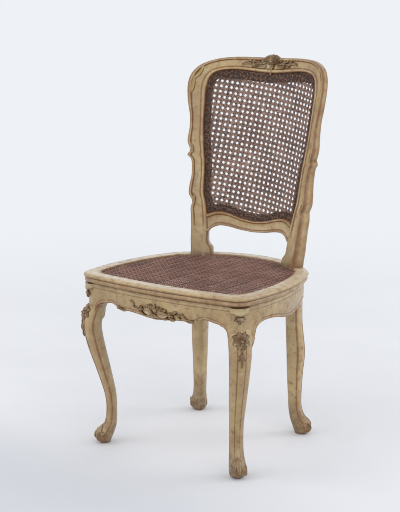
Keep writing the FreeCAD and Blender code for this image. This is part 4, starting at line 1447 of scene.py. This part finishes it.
dome = bud(on_frame, (0, 0.9730), half_wide=0.0270, half_high=0.0145, height=0.0090)
repaint(dome, "dirt", 1.0)
shell = [dome, bud(on_frame, (0, 0.9690), half_wide=0.006, half_high=0.005, height=0.0135)]
for k in range(shell_leaves):
    turn = math.radians(shell_first_degrees + shell_step_degrees * k)
    tip = (shell_half_wide * math.cos(turn), shell_middle_z + shell_half_high * math.sin(turn))
    shell.append(leaf(on_frame, shell_foot, tip, width=0.0105, height=0.0135))
shell += leaves(on_frame, crest_drop) + paired_leaves(on_frame, crest_pairs)
for side in (-1, 1):
    centre = (side * 0.041, 0.9615)
    shell += flower(on_frame, centre, inner=0.0028, outer=0.0075, petals=5, width=0.006, height=0.007)
print("crest carved with", len(shell), "cuts")

# %% Gilt leaves and scroll breaks
gilt_dirt, gilt_wear = 0.25, 0.9
shoulder_pairs = [
    (0.2030, 0.878, 0.1985, 0.934, 0.011, 0.0042, 0.003),
    (0.2005, 0.918, 0.1780, 0.963, 0.011, 0.0042, 0.004),
]
break_leaves = [
    (0.167, 0.588, 0.1715, 0.618, 0.010, 0.0045, 0.002), (0.184, 0.721, 0.1885, 0.752, 0.010, 0.0045, 0.002),
]
gilt = paired_leaves(on_frame, shoulder_pairs)
for piece in gilt:
    repaint(piece, "dirt", gilt_dirt)
    mark(piece, "wear", [gilt_wear] * len(piece.data.vertices))
breaks = leaves(on_frame, break_leaves)
print("gilt leaves", len(gilt), "and break leaves", len(breaks))

# %% Back handed in
right_upright = join("rear_right_upright_carved", right_post, rear_leg, rear_scroll, post_ledge, *breaks)
left_upright = mirror_copy(right_upright, "rear_left_upright_carved")
crest = join("crest_carved", crest, crest_ledge, *shell, *gilt)
stay = join("stay_carved", stay, stay_ledge)
hand_in(right_upright, "lacquered_wood", "rear_right_upright")
hand_in(left_upright, "lacquered_wood", "rear_left_upright")
hand_in(crest, "lacquered_wood", "crest_rail")
hand_in(stay, "lacquered_wood", "stay_rail")
for master in (leaf_master, bud_master):
    bpy.data.objects.remove(master)

# %% [markdown]
# ## The cane
# Both panels are the usual six-way weave: pairs of upright strands, pairs of level strands, and one
# strand along each diagonal that closes the corners of the holes. A caner threads them one by one. A
# picture with holes could stand for them. Real strands catch the light and let the backdrop through, so
# each one is a flat strip, and a flat plan of their lines comes first.

# %% Lines of the weave
weave_pitch = 0.014
pair_half = 0.0017


def inside(outline, s, t):
    """True where a flat place lies inside a closed outline."""
    odd = False
    for (s0, t0), (s1, t1) in zip(outline, outline[1:] + outline[:1]):
        if (t0 > t) != (t1 > t) and s < s0 + (t - t0) * (s1 - s0) / (t1 - t0):
            odd = not odd
    return odd


def strand_lines(low, high, pitch):
    """Flat lines of the weave over a box: start, direction, length, and the layer they lie in."""
    lines = []
    width, rise = high[0] - low[0], high[1] - low[1]
    across_count = math.ceil(width / 2 / pitch)
    up_count = math.ceil(rise / 2 / pitch)
    mid_s, mid_t = (low[0] + high[0]) / 2, (low[1] + high[1]) / 2
    for i in range(-across_count, across_count + 1):
        for offset in (-pair_half, pair_half):
            lines.append(((mid_s + i * pitch + offset, low[1]), (0, 1), rise, 0))
    for i in range(-up_count, up_count + 1):
        for offset in (-pair_half, pair_half):
            lines.append(((low[0], mid_t + i * pitch + offset), (1, 0), width, 1))
    reach = across_count + up_count
    length = 2 * (reach + 1) * pitch * diagonal
    for i in range(-reach, reach + 1):
        for lean in (1, -1):
            start = (mid_s + (i + 0.5) * pitch - lean * length / 2 * diagonal, mid_t - length / 2 * diagonal)
            lines.append((start, (lean * diagonal, diagonal), length, 2))
    return lines


print("lines over a hand's breadth:", len(strand_lines((0, 0), (0.1, 0.1), weave_pitch)))

# %% [markdown]
# Each line is walked in short steps and kept where it lies inside the opening. In the back the net has
# been pulled a little out of square, so its rows slope and its columns lean.

# %% Runs inside an opening
strand_step = 0.0035
least_steps = 2


def weave_runs(outline, pitch, slant, lean):
    """Runs of flat places along every strand that lie inside an outline."""
    low = min(p[0] for p in outline), min(p[1] for p in outline)
    high = max(p[0] for p in outline), max(p[1] for p in outline)
    middle = (low[1] + high[1]) / 2
    runs = []
    for start, way, length, layer in strand_lines(low, high, pitch):
        count = int(length / strand_step)
        run = []
        for k in range(count + 1):
            s, t = start[0] + way[0] * k * strand_step, start[1] + way[1] * k * strand_step
            s, t = s + lean * (t - middle), t - slant * s
            if inside(outline, s, t):
                run.append((s, t))
                continue
            if len(run) > least_steps:
                runs.append((run, way, layer))
            run = []
        if len(run) > least_steps:
            runs.append((run, way, layer))
    return runs


patch = [(0, 0), (0.1, 0), (0.1, 0.1), (0, 0.1)]
print("runs over a hand's breadth:", len(weave_runs(patch, weave_pitch, 0, 0)))

# %% [markdown]
# All strands of a panel are laid on one long grid, four points to a row, and the faces that lead from one
# strand to the next are deleted. That is far quicker than a primitive for each of several hundred strands.

# %% One panel
weave_lift_share = 0.55
diagonal_lift_share = 1.6
strand_sides = 4
# Painted shade round a strand, dark on both lower edges; the first point comes again at the end of its row.
strand_dirt = [1.0, 1.0, 0.0, 0.0, 1.0]


def weave(name, outline, pitch, place_at, material, width, thickness, crown,
          slant=0, lean=0, open_part=None):
    """One panel of strands, with painted shade on the strands outside its open part."""
    rows = []
    gaps = []
    shades = []
    ledge_shades = []
    for run, way, layer in weave_runs(outline, pitch, slant, lean):
        side = (-way[1], way[0])
        for s, t in run:
            along = (t if layer == 0 else s) / pitch
            swing = math.cos(math.pi * along) * (1 if layer == 0 else -1)
            lift = weave_lift_share * thickness * (diagonal_lift_share if layer == 2 else swing)
            ring = []
            for edge, height in ((-1, 0), (1, 0), (crown, 1), (-crown, 1)):
                out_s = s + side[0] * edge * width / 2
                out_t = t + side[1] * edge * width / 2
                ring.append(place_at(out_s, out_t, lift + (height - 0.5) * thickness))
            rows.append(ring)
            shaded = open_part is not None and not inside(open_part, s, t)
            shades.extend(strand_dirt)
            ledge_shades.extend([1.0 if shaded else 0.0] * len(strand_dirt))
        gaps.append(len(rows) - 1)
    select_only(floor)
    bpy.ops.mesh.primitive_grid_add(x_subdivisions=strand_sides, y_subdivisions=len(rows) - 1, size=1)
    panel = bpy.context.object
    panel.name = name
    places = []
    for ring in rows:
        for point in ring + ring[:1]:
            places.extend(point)
    panel.data.vertices.foreach_set("co", places)
    mark(panel, "dirt", shades)
    mark(panel, "ledge_shade", ledge_shades)
    leads = set(gaps[:-1])
    select_faces(panel, lambda face: face.index // strand_sides in leads)
    bpy.ops.mesh.delete(type="FACE")
    bpy.ops.object.mode_set(mode="OBJECT")
    edit(weld, cap, face_out)
    panel.data.materials.append(material)
    return panel


print("panels can be woven")

# %% [markdown]
# The back panel is worked out on the unrolled face of the back and bent onto it. It reaches under the
# moulding to the edge of the frame; where it lies on the ledge its strands get painted shade.

# %% Back panel
back_cane_depth = 0.0058
back_strand_width, back_strand_thickness, back_strand_crown = 0.0033, 0.0006, 0.55
row_slant = 0.14
column_lean = 0.065
stay_reach_share = 0.62


def flat_back(line):
    """Places on the back as flat places on the unrolled panel."""
    return [(back_radius * math.asin(p.x / back_radius), p.z) for p in line]


def closed_round(bottom, right_line):
    """The unrolled outline from the line of the stay and the right half of the frame."""
    right = flat_back([p for p in right_line if p.z > bottom[-1].z])
    return flat_back(bottom) + right + [(-s, t) for s, t in right[-2::-1]]


def on_back_panel(s, z, lift):
    return behind(Vector((back_radius * math.sin(s / back_radius), 0, z)), back_cane_depth - lift)


stay_line = [place for place in stay_top if abs(place.x) < stay_reach_share * back_half]
back_outline = closed_round(stay_line, inner_line)
open_line = [p + stay_rise for p in stay_line if abs(p.x) < stay_line[-1].x - post_ledge_width]
open_outline = closed_round(open_line, ledge_line)
back_panel = weave(
    "back_cane_weave", back_outline, weave_pitch, on_back_panel, back_straw, back_strand_width,
    back_strand_thickness, back_strand_crown, row_slant, column_lean, open_outline)
hand_in(back_panel, "woven_cane", "back_cane")

# %% [markdown]
# The seat panel is flat and lies in the rebate of the seat frame. Its strands are thicker and narrower on
# top, which gives the dark, sharp look that a seat has when it is seen at a low angle.

# %% Seat panel
seat_cane_drop = 0.0052
seat_cane_inset = 0.0365
seat_strand_width, seat_strand_thickness, seat_strand_crown = 0.0022, 0.0012, 0.35


def on_seat_panel(x, y, lift):
    return Vector((x, y, seat_height - seat_cane_drop + lift))


seat_outline = [(p.x, p.y) for p in seat_plan(seat_cane_inset, True)]
seat_panel = weave(
    "seat_cane_weave", seat_outline, weave_pitch, on_seat_panel, seat_straw, seat_strand_width,
    seat_strand_thickness, seat_strand_crown)
hand_in(seat_panel, "woven_cane", "seat_cane")

# %% [markdown]
# ## What stays as the CAD made it
# The glue blocks, their screws and the pegs and dowels of the joints are plain shop parts. They keep
# their CAD form and get bare wood and dull steel.

# %% Blocks, screws and pegs
steel_relief = 0.0002
bright_steel, dull_steel = linear(150, 148, 144), linear(96, 88, 80)
steel = Shader("dull_screw_steel")
speck = steel.noise(400.0, detail=5.0)
steel.surface.inputs["Metallic"].default_value = 1.0
steel.bump(speck, 0.15, steel_relief)
steel.finish(steel.mix(steel.band(speck, 0.35, 0.7), bright_steel, dull_steel), 0.45)
for node_name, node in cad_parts.items():
    if node_name == "corner_block_screws":
        node.data.materials.clear()
        node.data.materials.append(steel.material)
        print(node_name, "in dull steel")
    elif node_name.endswith(("corner_block", "pegs", "dowels")):
        node.data.materials.clear()
        node.data.materials.append(bare_wood)
        print(node_name, "left as bare wood")
